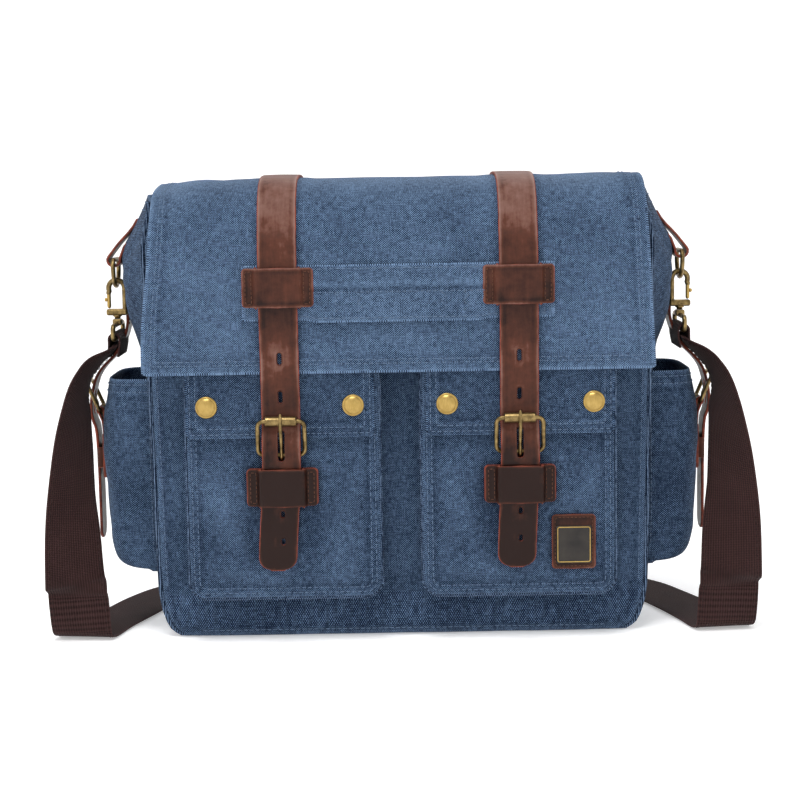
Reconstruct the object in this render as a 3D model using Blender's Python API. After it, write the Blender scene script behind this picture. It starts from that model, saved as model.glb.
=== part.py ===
"""Canvas messenger bag with leather straps, as the separate pieces it is sewn, riveted and hooked from.

Metres, +Z up. The origin is the centre of the base, on the surface that the bag stands on.
The front faces -Y, and +X is to the right of someone who looks at the front.
"""

import math

import bmesh
import bpy
import numpy as np
from mathutils import Vector

MM = 0.001
GAP = 0.3 * MM

# Heights are given from a line that is RISE above the floor, down to the body's foot. The foot stretches to the floor.
RISE = 12 * MM
FOOT_LOW = 7 * MM
FOOT_HIGH = 22 * MM

# Main compartment: a flat front and back panel, joined by gussets that bulge between them.
BASE_HALF = 180 * MM
TOP_HALF = 186 * MM
SHELL_HALF_DEPTH = 60 * MM
SHELL_HEIGHT = 304 * MM
CORNER = 20 * MM
PANEL = 3 * MM
GUSSET = 2.5 * MM
GUSSET_HALF = SHELL_HALF_DEPTH - PANEL - GAP
BULGE_HEIGHTS = [20 * MM, 60 * MM, 175 * MM, 200 * MM, 225 * MM, 250 * MM, 280 * MM, SHELL_HEIGHT]
BULGE_DEPTHS = [0, 2 * MM, 9 * MM, 14 * MM, 19 * MM, 21 * MM, 19 * MM, 8 * MM]

# Pockets.
POCKET_FACE = -84 * MM
POCKET_INNER_X = 15 * MM
POCKET_OUTER_X = 156 * MM
POCKET_BOTTOM = 22 * MM
POCKET_TOP = 206 * MM
POCKET_WALL = 2 * MM
SIDE_POCKET_FACE = 226 * MM
SIDE_POCKET_ROOT = 188 * MM
SIDE_POCKET_HALF = 50 * MM
SIDE_POCKET_BOTTOM = 38 * MM
SIDE_POCKET_TOP = 180 * MM

# Pocket flaps and their snaps.
LID_THICK = 2.6 * MM
LID_FRONT = POCKET_FACE - 0.45 * MM - LID_THICK
LID_HINGE = Vector((0, -62 * MM, 210 * MM))
LID_BOTTOM = 141 * MM
SNAP_RADIUS = 7.75 * MM
SNAP_XS = [34 * MM, 140 * MM]
SNAP_Z = 164 * MM

# Main flap, hinged along the top of the back panel.
FLAP_HINGE = Vector((0, 60 * MM, 306.6 * MM))
FLAP_HALF = 183 * MM
FLAP_THICK = 3.4 * MM
FLAP_MID_Y = -89.3 * MM
FLAP_BOTTOM = 189 * MM
FLAP_FRONT = FLAP_MID_Y - FLAP_THICK / 2

# Carry handle, leather straps and keepers, layer upon layer on the flap.
HANDLE_HALF = 112 * MM
HANDLE_LOW = 226 * MM
HANDLE_HIGH = 266 * MM
HANDLE_THICK = 2 * MM
STRAP_X = 86 * MM
STRAP_HALF = 14 * MM
STRAP_THICK = 2.8 * MM
STRAP_TIP = 45 * MM
STRAP_SLOTS = [(199, 8.6, 3), (171, 8.6, 3), (136, 22, 5), (86, 5, 3), (66, 5, 3)]  # height, length, width
KEEPER_HALF = 26 * MM
KEEPER_THICK = 1.8 * MM
KEEPER_BRIDGE_Y = -97.6 * MM
UPPER_KEEPER = (236 * MM, 264 * MM)
LOWER_KEEPER = (92 * MM, 119 * MM)

# Side belts that close the mouths of the side pockets.
BELT_Y = 12 * MM
BELT_HALF = 11 * MM
BELT_THICK = 2.2 * MM
TAB_HALF = 14.5 * MM

# Ring, swivel snap hook and shoulder strap on each side.
HANG_X = 214 * MM
HANG_Y = -4 * MM
RING_BAR_Z = 268 * MM
RING_LOW_Z = 248 * MM
RING_WIRE = 1.7 * MM
RING_HALF = 14.5 * MM
HOOK_WIRE = 2 * MM
HOOK_BEND = 6 * MM
HOOK_BEND_Z = 246.3 * MM
HOOK_BASE_TOP = 230.6 * MM
HOOK_BASE_LOW = 225.5 * MM
HOOK_STEM_LOW = 223.3 * MM
GATE_WIRE = 1.6 * MM
GATE_AXIS_Z = 233 * MM
EYE_HALF = 25.5 * MM
EYE_WIRE = 1.8 * MM
EYE_TOP_Z = 219 * MM
EYE_LOW_Z = 209 * MM
WEBBING_WIDTH = 45 * MM
WEBBING_THICK = 1.4 * MM
PAD_WIDTH = 54 * MM
PAD_THICK = 4 * MM

# The shoulder strap's route: centre of the webbing, then the direction of its width.
WEBBING_ROUTE = [
    ((-0.2150, -0.004, 0.2050), (0, 1, 0)),
    ((-0.2167, -0.0045, 0.2000), (0, 1, 0)),
    ((-0.2240, -0.010, 0.1930), (0.04, 1, 0)),
    ((-0.2320, -0.021, 0.1840), (0.10, 1, 0)),
    ((-0.2370, -0.033, 0.1730), (0.18, 0.98, 0)),
    ((-0.2400, -0.043, 0.1580), (0.30, 0.95, 0)),
    ((-0.2420, -0.052, 0.1350), (0.46, 0.89, 0)),
    ((-0.2430, -0.064, 0.1000), (0.62, 0.78, 0)),
    ((-0.2420, -0.073, 0.0600), (0.84, 0.54, 0)),
    ((-0.2410, -0.075, 0.0300), (0.94, 0.34, 0)),
    ((-0.2400, -0.070, 0.0090), (0.99, 0.10, 0)),
    ((-0.2370, -0.055, 0.0014), (0.98, -0.20, 0)),
    ((-0.2280, -0.020, 0.0013), (0.95, -0.30, 0)),
    ((-0.2150, 0.020, 0.0013), (0.94, -0.33, 0)),
    ((-0.2020, 0.060, 0.0013), (0.92, -0.40, 0)),
    ((-0.1840, 0.094, 0.0013), (0.78, -0.62, 0)),
    ((-0.1520, 0.118, 0.0013), (0.45, -0.89, 0)),
    ((-0.1050, 0.130, 0.0013), (0.18, -0.98, 0)),
    ((-0.0500, 0.134, 0.0013), (0.03, -1, 0)),
    ((0.0100, 0.135, 0.0013), (0, -1, 0)),
    ((0.0700, 0.134, 0.0013), (-0.05, -1, 0)),
    ((0.1250, 0.128, 0.0013), (-0.22, -0.97, 0)),
    ((0.1650, 0.112, 0.0013), (-0.52, -0.85, 0)),
    ((0.1910, 0.084, 0.0013), (-0.84, -0.54, 0)),
    ((0.2060, 0.050, 0.0013), (-0.93, -0.36, 0)),
    ((0.2200, 0.010, 0.0013), (-0.95, -0.30, 0)),
    ((0.2310, -0.028, 0.0013), (-0.96, -0.27, 0)),
    ((0.2380, -0.056, 0.0014), (-0.98, -0.16, 0)),
    ((0.2405, -0.071, 0.0090), (-0.99, 0.06, 0)),
    ((0.2415, -0.076, 0.0300), (-0.97, 0.24, 0)),
    ((0.2420, -0.074, 0.0600), (-0.90, 0.44, 0)),
    ((0.2430, -0.066, 0.1000), (-0.68, 0.73, 0)),
    ((0.2420, -0.053, 0.1350), (-0.48, 0.88, 0)),
    ((0.2400, -0.043, 0.1580), (-0.32, 0.95, 0)),
    ((0.2370, -0.033, 0.1730), (-0.18, 0.98, 0)),
    ((0.2315, -0.021, 0.1840), (-0.10, 1, 0)),
    ((0.2235, -0.010, 0.1930), (-0.04, 1, 0)),
    ((0.2167, -0.0045, 0.2000), (0, 1, 0)),
    ((0.2150, -0.004, 0.2050), (0, 1, 0)),
]
STATIONS_PER_LEG = 2

SIDES = {"left": -1, "right": 1}

FINISHES = {
    "canvas": ((0.075, 0.135, 0.235), 0.92, 0.0),
    "lining": ((0.16, 0.13, 0.10), 0.85, 0.0),
    "board": ((0.20, 0.18, 0.15), 0.80, 0.0),
    "leather": ((0.115, 0.040, 0.022), 0.48, 0.0),
    "webbing": ((0.060, 0.030, 0.030), 0.90, 0.0),
    "brass": ((0.36, 0.27, 0.13), 0.38, 1.0),
    "gold": ((0.75, 0.58, 0.28), 0.25, 1.0),
    "steel": ((0.45, 0.44, 0.42), 0.35, 1.0),
    "plate": ((0.035, 0.030, 0.028), 0.35, 0.6),
}


def clear_scene():
    for obj in list(bpy.data.objects):
        bpy.data.objects.remove(obj, do_unlink=True)


def finish_of(name, kind):
    colour, roughness, metallic = FINISHES[kind]
    made = bpy.data.materials.new(f"{name}_{kind}")
    made.use_nodes = True
    shader = made.node_tree.nodes["Principled BSDF"]
    shader.inputs["Base Color"].default_value = (*colour, 1)
    shader.inputs["Roughness"].default_value = roughness
    shader.inputs["Metallic"].default_value = metallic
    return made


def raised(point):
    """A drawn point at its height above the floor."""
    x, y, z = point
    share = min(max((z - FOOT_LOW) / (FOOT_HIGH - FOOT_LOW), 0), 1)
    return Vector((x, y, z + RISE * share))


def place_of(axis):
    """World position of an empty, which only its parents' positions shift."""
    place = Vector()
    while axis:
        place += axis.location
        axis = axis.parent
    return place


def pivot(name, place, parent=None):
    """An empty on a joint's axis. The pieces that turn with the joint are its children."""
    empty = bpy.data.objects.new(name, None)
    empty.parent = parent
    empty.location = raised(place) - place_of(parent)
    bpy.context.scene.collection.objects.link(empty)
    return empty


def add_piece(name, shape, kind, axis=None):
    """An object from drawn verts and faces. Its origin is on its axis, where it has one."""
    verts, faces = shape
    origin = place_of(axis)
    mesh = bpy.data.meshes.new(name)
    mesh.from_pydata([raised(vert) - origin for vert in verts], [], faces)
    work = bmesh.new()
    work.from_mesh(mesh)
    bmesh.ops.recalc_face_normals(work, faces=work.faces)
    work.to_mesh(mesh)
    work.free()
    mesh.shade_smooth()
    mesh.set_sharp_from_angle(angle=math.radians(35))
    obj = bpy.data.objects.new(name, mesh)
    bpy.context.scene.collection.objects.link(obj)
    obj.parent = axis
    mesh.materials.append(finish_of(name, kind))
    return obj


def combine(obj, shape, operation):
    """Joins a shape to an object, or cuts it away. The helper stays, hidden, beside the object."""
    label = f"{obj.name}_{operation.lower()}_{len(obj.modifiers)}"
    helper = add_piece(label, shape, "canvas", obj.parent)
    helper.hide_render = True
    helper.display_type = "WIRE"
    boolean = obj.modifiers.new(operation.title(), "BOOLEAN")
    boolean.operation = operation
    boolean.solver = "EXACT"
    boolean.object = helper


def prism(outline, place, low, high):
    """An outline carried from low to high. place(u, v, w) gives a point of it in space."""
    count = len(outline)
    verts = [place(u, v, w) for w in (low, high) for u, v in outline]
    faces = [tuple(range(count)), tuple(range(2 * count - 1, count - 1, -1))]
    for i in range(count):
        j = (i + 1) % count
        faces.append((i, j, count + j, count + i))
    return verts, faces


def side_on(y, z, x):
    return (x, y, z)


def front_on(x, z, y):
    return (x, y, z)


def plan_on(x, y, z):
    return (x, y, z)


def box(low, high):
    outline = [(low[0], low[1]), (high[0], low[1]), (high[0], high[1]), (low[0], high[1])]
    return prism(outline, plan_on, low[2], high[2])


def arc(centre, radius, start, end, steps):
    """Points on a circle, from one angle to another, in degrees."""
    angles = np.radians(np.linspace(start, end, steps + 1))
    return [(centre[0] + radius * math.cos(a), centre[1] + radius * math.sin(a)) for a in angles]


def rounded_rectangle(low, high, radius, steps=3):
    (x0, z0), (x1, z1) = low, high
    outline = arc((x0 + radius, z0 + radius), radius, 180, 270, steps)
    outline += arc((x1 - radius, z0 + radius), radius, 270, 360, steps)
    outline += arc((x1 - radius, z1 - radius), radius, 0, 90, steps)
    outline += arc((x0 + radius, z1 - radius), radius, 90, 180, steps)
    return outline


def pocket_outline(low, high, radius, steps=4):
    """A rectangle with its two lower corners rounded."""
    (x0, z0), (x1, z1) = low, high
    outline = arc((x0 + radius, z0 + radius), radius, 180, 270, steps)
    outline += arc((x1 - radius, z0 + radius), radius, 270, 360, steps)
    return outline + [(x1, z1), (x0, z1)]


def softened(points, rounds=2):
    """A polyline with its corners cut off again and again, and its ends kept."""
    path = [np.array(point, float) for point in points]
    for _ in range(rounds):
        cut = [path[0]]
        for a, b in zip(path, path[1:]):
            cut += [0.75 * a + 0.25 * b, 0.25 * a + 0.75 * b]
        path = cut + [path[-1]]
    return np.array(path)


def offset(path, distance):
    """A flat path moved sideways, to the left of its direction."""
    along = np.gradient(np.array(path, float), axis=0)
    along /= np.linalg.norm(along, axis=1)[:, None]
    return np.array(path) + distance * np.stack([-along[:, 1], along[:, 0]], axis=1)


def strip(path, thickness):
    """The outline of a sheet seen edge on."""
    return np.concatenate([offset(path, thickness / 2), offset(path, -thickness / 2)[::-1]])


def wire(points, radius, flat, closed=False, sides=8):
    """A round wire along a path that lies in one plane, whose normal is flat."""
    path = np.array(points, float)
    flat = np.array(flat, float) / np.linalg.norm(flat)
    if closed:
        along = np.roll(path, -1, axis=0) - np.roll(path, 1, axis=0)
    else:
        along = np.gradient(path, axis=0)
    along /= np.linalg.norm(along, axis=1)[:, None]
    across = np.cross(flat, along)
    angles = np.linspace(0, 2 * math.pi, sides, endpoint=False)
    circle = [(radius * math.cos(a), radius * math.sin(a)) for a in angles]
    verts = [p + u * c + v * flat for p, c in zip(path, across) for u, v in circle]
    rings = len(path)
    faces = []
    for ring in range(rings if closed else rings - 1):
        after = (ring + 1) % rings
        for i in range(sides):
            j = (i + 1) % sides
            faces.append((ring * sides + i, ring * sides + j, after * sides + j, after * sides + i))
    if not closed:
        faces.append(tuple(range(sides)))
        faces.append(tuple((rings - 1) * sides + i for i in range(sides)))
    return verts, faces


def ribbon(centres, widths, width, thickness):
    """A flat strap swept along its route, with the direction of its width at each station."""
    along = np.gradient(centres, axis=0)
    along /= np.linalg.norm(along, axis=1)[:, None]
    across = widths - (widths * along).sum(axis=1)[:, None] * along
    across /= np.linalg.norm(across, axis=1)[:, None]
    normal = np.cross(along, across)
    corners = [(-1, -1), (1, -1), (1, 1), (-1, 1)]
    verts = []
    for centre, side, up in zip(centres, across, normal):
        verts += [centre + 0.5 * width * u * side + 0.5 * thickness * v * up for u, v in corners]
    faces = [(0, 1, 2, 3), tuple(len(verts) - 4 + i for i in range(4))]
    for a in range(0, len(verts) - 4, 4):
        b = a + 4
        # Both wide faces are split along the same diagonal, so they stay apart where the strap twists.
        faces += [(a, a + 1, b + 1), (a, b + 1, b), (a + 3, b + 3, b + 2), (a + 2, a + 3, b + 2)]
        faces += [(a + 1, a + 2, b + 2, b + 1), (a, b, b + 3, a + 3)]
    return verts, faces


def smooth_route(rows, per_leg):
    """A smooth curve through each of the rows, with per_leg stations from one to the next."""
    rows = np.array(rows, float)
    padded = np.concatenate([2 * rows[:1] - rows[1:2], rows, 2 * rows[-1:] - rows[-2:-1]])
    stations = []
    for i in range(len(rows) - 1):
        a, b, c, d = padded[i : i + 4]
        for t in np.arange(per_leg) / per_leg:
            near = 2 * b + (c - a) * t + (2 * a - 5 * b + 4 * c - d) * t**2
            stations.append(0.5 * (near + (3 * b - a - 3 * c + d) * t**3))
    return np.array(stations + [rows[-1]])


def disc(centre, radius, steps_out, sides=16):
    """A turned button whose axis is Y: (radius, distance forwards) rings, closed front and back."""
    rings = [(radius * r, depth) for r, depth in steps_out]
    angles = np.linspace(0, 2 * math.pi, sides, endpoint=False)
    verts = []
    for r, depth in rings:
        verts += [
            (centre[0] + r * math.cos(a), centre[1] - depth, centre[2] + r * math.sin(a)) for a in angles
        ]
    faces = [tuple(range(sides)), tuple((len(rings) - 1) * sides + i for i in range(sides))]
    for ring in range(len(rings) - 1):
        for i in range(sides):
            j = (i + 1) % sides
            low, high = ring * sides, (ring + 1) * sides
            faces.append((low + i, low + j, high + j, high + i))
    return verts, faces


# --- Main compartment ---


def edge_x(z):
    """Half the width of the front and back panels, where the gussets are sewn to them."""
    return np.interp(z, [CORNER, SHELL_HEIGHT], [BASE_HALF, TOP_HALF])


def gusset_x(z, y=0.0):
    """Outer face of the right gusset: it bulges between its two seams."""
    bulge = np.interp(z, BULGE_HEIGHTS, BULGE_DEPTHS)
    return edge_x(z) + bulge * math.cos(math.pi * y / (2 * SHELL_HALF_DEPTH))


def panel_outline():
    corner = arc((BASE_HALF - CORNER, CORNER), CORNER, 270, 360, 5)
    right = corner + [(TOP_HALF, SHELL_HEIGHT)]
    return right + [(-x, z) for x, z in reversed(right)]


def make_panels():
    front = prism(panel_outline(), front_on, -SHELL_HALF_DEPTH, -SHELL_HALF_DEPTH + PANEL)
    add_piece("front_panel", front, "canvas")
    back = prism(panel_outline(), front_on, SHELL_HALF_DEPTH - PANEL, SHELL_HALF_DEPTH)
    add_piece("back_panel", back, "canvas")


def make_gusset(label, side):
    """A strip from the mouth down the side and round the lower corner."""
    ys = np.linspace(-GUSSET_HALF, GUSSET_HALF, 9)
    heights = [SHELL_HEIGHT] + [z * MM for z in (280, 250, 225, 200, 175, 120, 60)]
    outer = [[(gusset_x(z, y), y, z) for y in ys] for z in heights]
    inner = [[(gusset_x(z, y) - GUSSET, y, z) for y in ys] for z in heights]
    centre = (BASE_HALF - CORNER, CORNER)
    for radius, rows in ((CORNER, outer), (CORNER - GUSSET, inner)):
        rows += [[(x, y, z) for y in ys] for x, z in arc(centre, radius, 0, -90, 5)]
    rows, columns = len(outer), len(ys)
    verts = [(side * x, y, z) for row in outer + inner for x, y, z in row]
    faces = []
    for layer in (0, rows * columns):
        for r in range(rows - 1):
            for c in range(columns - 1):
                i = layer + r * columns + c
                faces.append((i, i + 1, i + columns + 1, i + columns))
    last = (rows - 1) * columns
    rim = list(range(columns)) + [r * columns + columns - 1 for r in range(1, rows)]
    rim += [last + c for c in range(columns - 2, -1, -1)] + [r * columns for r in range(rows - 2, 0, -1)]
    for i, j in zip(rim, rim[1:] + rim[:1]):
        faces.append((i, j, rows * columns + j, rows * columns + i))
    add_piece(f"gusset_{label}", (verts, faces), "canvas")


def make_base():
    half = BASE_HALF - CORNER - GAP
    add_piece("base_panel", box((-half, -GUSSET_HALF, 0), (half, GUSSET_HALF, GUSSET)), "canvas")
    board_low = GUSSET + GAP
    board = box((-half + 5 * MM, -54 * MM, board_low), (half - 5 * MM, 54 * MM, board_low + 2 * MM))
    add_piece("base_board", board, "board")


def make_lining():
    """A loose fabric bag inside the canvas one, open at the top."""
    wall, low, half = 1.2 * MM, 5.6 * MM, 173 * MM
    top, depth = 302 * MM, 56.4 * MM
    outer = pocket_outline((-half, low), (half, top), 14 * MM)
    lining = add_piece("lining", prism(outer, front_on, -depth, depth), "lining")
    inner = pocket_outline((-half + wall, low + wall), (half - wall, top + 10 * MM), 13 * MM)
    combine(lining, prism(inner, front_on, -depth + wall, depth - wall), "DIFFERENCE")


def make_divider():
    """The padded wall of the sleeve at the back of the main compartment."""
    outline = pocket_outline((-160 * MM, 8 * MM), (160 * MM, 230 * MM), 14 * MM)
    add_piece("laptop_divider", prism(outline, front_on, 33 * MM, 40 * MM), "lining")


# --- Pockets ---


def make_front_pocket(label, side):
    """A patch pocket with gusset walls, open at the top and sewn to the front panel."""
    wall = POCKET_WALL
    xs = sorted([side * POCKET_INNER_X, side * POCKET_OUTER_X])
    outer = pocket_outline((xs[0], POCKET_BOTTOM), (xs[1], POCKET_TOP), 16 * MM)
    back = -SHELL_HALF_DEPTH - GAP
    pocket = add_piece(f"front_pocket_{label}", prism(outer, front_on, POCKET_FACE, back), "canvas")
    low, high = (xs[0] + wall, POCKET_BOTTOM + wall), (xs[1] - wall, POCKET_TOP + 10 * MM)
    inner = pocket_outline(low, high, 14 * MM)
    combine(pocket, prism(inner, front_on, POCKET_FACE + wall, back + 5 * MM), "DIFFERENCE")


def side_pocket_outline(inset, top):
    """The side pocket seen from the front: straight outside, round at the lower corner."""
    face, low = SIDE_POCKET_FACE - inset, SIDE_POCKET_BOTTOM + inset
    radius = 15 * MM - inset
    corner = arc((face - radius, low + radius), radius, 270, 360, 4)
    root = SIDE_POCKET_ROOT - 2 * inset
    return [(root, low)] + corner + [(face, top), (root, top)]


def make_side_pocket(label, side):
    def place(x, z, y):
        return (side * x, y, z)

    half = SIDE_POCKET_HALF
    outer = prism(side_pocket_outline(0, SIDE_POCKET_TOP), place, -half, half)
    pocket = add_piece(f"side_pocket_{label}", outer, "canvas")
    hollow_half = half - POCKET_WALL
    hollow = side_pocket_outline(POCKET_WALL, SIDE_POCKET_TOP + 10 * MM)
    combine(pocket, prism(hollow, place, -hollow_half, hollow_half), "DIFFERENCE")


def make_pocket_flap(label, side):
    """A lid that folds over the pocket's mouth, with a snap cap near each lower corner."""
    axis = pivot(f"pocket_flap_axis_{label}", LID_HINGE)
    middle = LID_FRONT + LID_THICK / 2
    path = [(LID_HINGE.y, LID_HINGE.z), (-80 * MM, 210.5 * MM), (middle, 210 * MM), (middle, 204 * MM)]
    path.append((middle, LID_BOTTOM))
    xs = sorted([side * (POCKET_INNER_X + 4 * MM), side * (POCKET_OUTER_X - 1 * MM)])
    lid = prism(strip(softened(path), LID_THICK), side_on, xs[0], xs[1])
    add_piece(f"pocket_flap_{label}", lid, "canvas", axis)
    rings = [(1, 0), (1, 0.8 * MM), (0.86, 1.7 * MM), (0.45, 2.3 * MM)]
    for i, x in enumerate(SNAP_XS, 1):
        centre = (side * x, LID_FRONT - GAP, SNAP_Z)
        add_piece(f"snap_cap_{label}_{i}", disc(centre, SNAP_RADIUS, rings), "gold", axis)


# --- Main flap with its handle, straps and keepers ---


def flap_path():
    """Middle of the flap's thickness, from the hinge over the top to the front corner and the hem."""
    mm = [(60, 306.6), (59, 315), (50, 322), (20, 325.5), (-25, 326), (-62, 322.5), (-82, 309), (-88.6, 288)]
    path = [(y * MM, z * MM) for y, z in mm]
    return softened(path + [(FLAP_MID_Y, 268 * MM), (FLAP_MID_Y, FLAP_BOTTOM)])


def make_flap_panel(axis):
    flap = prism(strip(flap_path(), FLAP_THICK), side_on, -FLAP_HALF, FLAP_HALF)
    add_piece("flap_panel", flap, "canvas", axis)


def make_carry_handle(axis):
    back = FLAP_FRONT - GAP
    low, high = (-HANDLE_HALF, back - HANDLE_THICK, HANDLE_LOW), (HANDLE_HALF, back, HANDLE_HIGH)
    add_piece("carry_handle", box(low, high), "canvas", axis)


def strap_path():
    """Middle of a front strap: over the flap, over the handle, through the buckle and down to its tip."""
    over = offset(flap_path(), -(FLAP_THICK + STRAP_THICK) / 2 - GAP)
    over = [point for point in over if point[0] < 48 * MM and point[1] > 292 * MM]
    mm = [(-95.0, 279), (-95.0, 214), (-92.8, 204), (-92.8, 184), (-89.7, 166), (-89.7, 150)]
    mm += [(-96.2, 137), (-96.2, 125), (-92.8, 112)]
    front = [(y * MM, z * MM) for y, z in mm]
    return np.concatenate([over[:-1], softened([over[-1]] + front + [(-92.8 * MM, STRAP_TIP)])])


def make_flap_strap(label, side, axis):
    centre = side * STRAP_X
    strap = prism(strip(strap_path(), STRAP_THICK), side_on, centre - STRAP_HALF, centre + STRAP_HALF)
    strap = add_piece(f"flap_strap_{label}", strap, "leather", axis)
    for z, tall, wide in STRAP_SLOTS:
        low = (centre - wide / 2 * MM, -110 * MM, (z - tall / 2) * MM)
        high = (centre + wide / 2 * MM, -80 * MM, (z + tall / 2) * MM)
        combine(strap, box(low, high), "DIFFERENCE")


def keeper_outline(centre, wing_y):
    """A keeper seen from above: flat wings, and a bridge over the strap."""
    foot, shoulder = STRAP_HALF + 2.4 * MM, STRAP_HALF + 1.2 * MM
    right = [(KEEPER_HALF, wing_y), (foot, wing_y), (shoulder, KEEPER_BRIDGE_Y)]
    left = [(-x, y) for x, y in reversed(right)]
    return strip([(centre + x, y) for x, y in right + left], KEEPER_THICK)


def make_upper_keeper(label, side, axis):
    wing = FLAP_FRONT - 2 * GAP - HANDLE_THICK - KEEPER_THICK / 2
    outline = keeper_outline(side * STRAP_X, wing)
    add_piece(f"upper_keeper_{label}", prism(outline, plan_on, *UPPER_KEEPER), "leather", axis)


# --- Buckles: the same parts on the front straps and on the side belts ---


class Buckle:
    """A buckle's place and sizes. Points are (across, outwards from the pocket's face, height)."""

    def __init__(self, place, bar, top, half, wire_radius, fold_radius):
        self.place = place
        self.bar = bar
        self.top = top
        self.half = half
        self.wire_radius = wire_radius
        self.fold_radius = fold_radius

    def points(self, rows):
        return [self.place(*row) for row in rows]

    def frame(self):
        """A rounded rectangle of wire from the hinge bar up to the top bar."""
        rise = np.array(self.top) - np.array(self.bar)
        height = np.linalg.norm(rise)
        flat = rounded_rectangle((-self.half, 0), (self.half, height), 4.5 * MM, 4)
        rows = [(u, *(np.array(self.bar) + rise * v / height)) for u, v in flat]
        path = np.array(self.points(rows))
        return wire(path, self.wire_radius, np.cross(path[5] - path[0], path[12] - path[0]), closed=True)

    def fold(self, back, front, low, half):
        """Leather doubled round the hinge bar: a slab that ends in an eye for the bar."""
        radius, (out, z) = self.fold_radius, self.bar
        end = -math.degrees(math.acos((front - out) / radius))
        outline = [(front, low), (back, low)] + arc((out, z), radius, 180, end, 12)
        return prism(outline, lambda v, w, u: self.place(u, v, w), -half, half)

    def bar_hole(self, half):
        """The round way through the fold for the hinge bar."""
        hole = arc(self.bar, self.wire_radius + GAP, 0, 330, 11)
        return prism(hole, lambda v, w, u: self.place(u, v, w), -half, half)

    def prong_notch(self, half):
        """The slot in the fold where the prong's eye turns."""
        out, z = self.bar
        low, high = z - self.fold_radius - 2 * MM, z + self.fold_radius + 5 * MM
        outline = [(out - 8 * MM, low), (out + 8 * MM, low), (out + 8 * MM, high), (out - 8 * MM, high)]
        return prism(outline, lambda v, w, u: self.place(u, v, w), -half, half)

    def prong(self, eye_radius, wire_radius, tail):
        """A wire bent round the hinge bar, then up through the strap to lie on the top bar."""
        rows = [(0, *point) for point in arc(self.bar, eye_radius, 115, 360, 12)]
        rows += [(0, *point) for point in softened([rows[-1][1:]] + tail)[1:]]
        across = np.array(self.place(1, 0, 0)) - np.array(self.place(0, 0, 0))
        return wire(self.points(rows), wire_radius, across)


def front_buckle(side):
    def place(u, out, z):
        return (side * STRAP_X + u, POCKET_FACE - out, z)

    bar, top = (7.0 * MM, 129 * MM), (11.0 * MM, 154 * MM)
    return Buckle(place, bar, top, 16.9 * MM, 1.6 * MM, 3.5 * MM)


def side_buckle(side):
    def place(u, out, z):
        return (side * (SIDE_POCKET_FACE + out), BELT_Y + u, z)

    bar, top = (4.6 * MM, 152 * MM), (14.0 * MM, 174 * MM)
    return Buckle(place, bar, top, 13.6 * MM, 1.5 * MM, 3.3 * MM)


def make_front_buckle(label, side, axis):
    buckle = front_buckle(side)
    add_piece(f"buckle_frame_{label}", buckle.frame(), "brass", axis)
    roller_axis = pivot(f"roller_axis_{label}", buckle.place(0, *buckle.top), axis)
    outer = arc(buckle.top, 3.6 * MM, 0, 337.5, 15)
    roller = prism(outer, lambda v, w, u: buckle.place(u, v, w), -11.4 * MM, 11.4 * MM)
    roller = add_piece(f"roller_{label}", roller, "brass", roller_axis)
    bore = arc(buckle.top, 2.0 * MM, 0, 330, 11)
    combine(roller, prism(bore, lambda v, w, u: buckle.place(u, v, w), -14 * MM, 14 * MM), "DIFFERENCE")
    prong_axis = pivot(f"prong_axis_{label}", buckle.place(0, *buckle.bar), axis)
    tail = [(10.3 * MM, 137 * MM), (15.9 * MM, 146 * MM), (16.3 * MM, 153 * MM), (15.9 * MM, 159 * MM)]
    add_piece(f"prong_{label}", buckle.prong(3.3 * MM, 1.25 * MM, tail), "brass", prong_axis)


def make_buckle_chape(label, side, axis):
    """Doubled leather that holds the buckle, wide below, where the magnet and the keeper are."""
    buckle = front_buckle(side)
    back, front = 3.6 * MM, 7.1 * MM
    half = 12.5 * MM
    fold = buckle.fold(back, front, 105 * MM, half)
    chape = add_piece(f"buckle_chape_{label}", fold, "leather", axis)
    low = buckle.place(-KEEPER_HALF, front, LOWER_KEEPER[0])
    high = buckle.place(KEEPER_HALF, back, LOWER_KEEPER[1])
    combine(chape, box(low, high), "UNION")
    combine(chape, buckle.bar_hole(20 * MM), "DIFFERENCE")
    combine(chape, buckle.prong_notch(3 * MM), "DIFFERENCE")
    outline = keeper_outline(side * STRAP_X, POCKET_FACE - front - GAP - KEEPER_THICK / 2)
    add_piece(f"lower_keeper_{label}", prism(outline, plan_on, *LOWER_KEEPER), "leather", axis)


def make_magnet_socket(label, side):
    centre = (side * STRAP_X, POCKET_FACE - GAP, 106 * MM)
    add_piece(f"magnet_socket_{label}", disc(centre, 9 * MM, [(1, 0), (1, 2 * MM)]), "steel")


# --- Side belts ---


def make_side_belt(label, side):
    """A narrow strap from the gusset over the side pocket's mouth, through its buckle and keeper."""
    buckle = side_buckle(side)
    mm = [(-21, 226), (-21, 216), (-14, 197), (3.4, 181), (7.6, 168), (9.4, 158), (9.4, 147)]
    path = softened([(out * MM, z * MM) for out, z in mm + [(4.7, 136), (4.7, 52)]])
    belt = prism(strip(path, BELT_THICK), lambda v, w, u: buckle.place(u, v, w), -BELT_HALF, BELT_HALF)
    belt = add_piece(f"side_belt_{label}", belt, "leather")
    out, z = buckle.bar
    slot = box((-2.2 * MM, out, z - 5 * MM), (2.2 * MM, out + 20 * MM, z + 16 * MM))
    combine(belt, (buckle.points(slot[0]), slot[1]), "DIFFERENCE")


def make_side_buckle(label, side):
    buckle = side_buckle(side)
    add_piece(f"side_buckle_frame_{label}", buckle.frame(), "brass")
    axis = pivot(f"side_prong_axis_{label}", buckle.place(0, *buckle.bar))
    tail = [(7.8 * MM, 158 * MM), (14.0 * MM, 167 * MM), (17.6 * MM, 174 * MM), (18.2 * MM, 178 * MM)]
    add_piece(f"side_buckle_prong_{label}", buckle.prong(3.1 * MM, 1.0 * MM, tail), "brass", axis)


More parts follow.
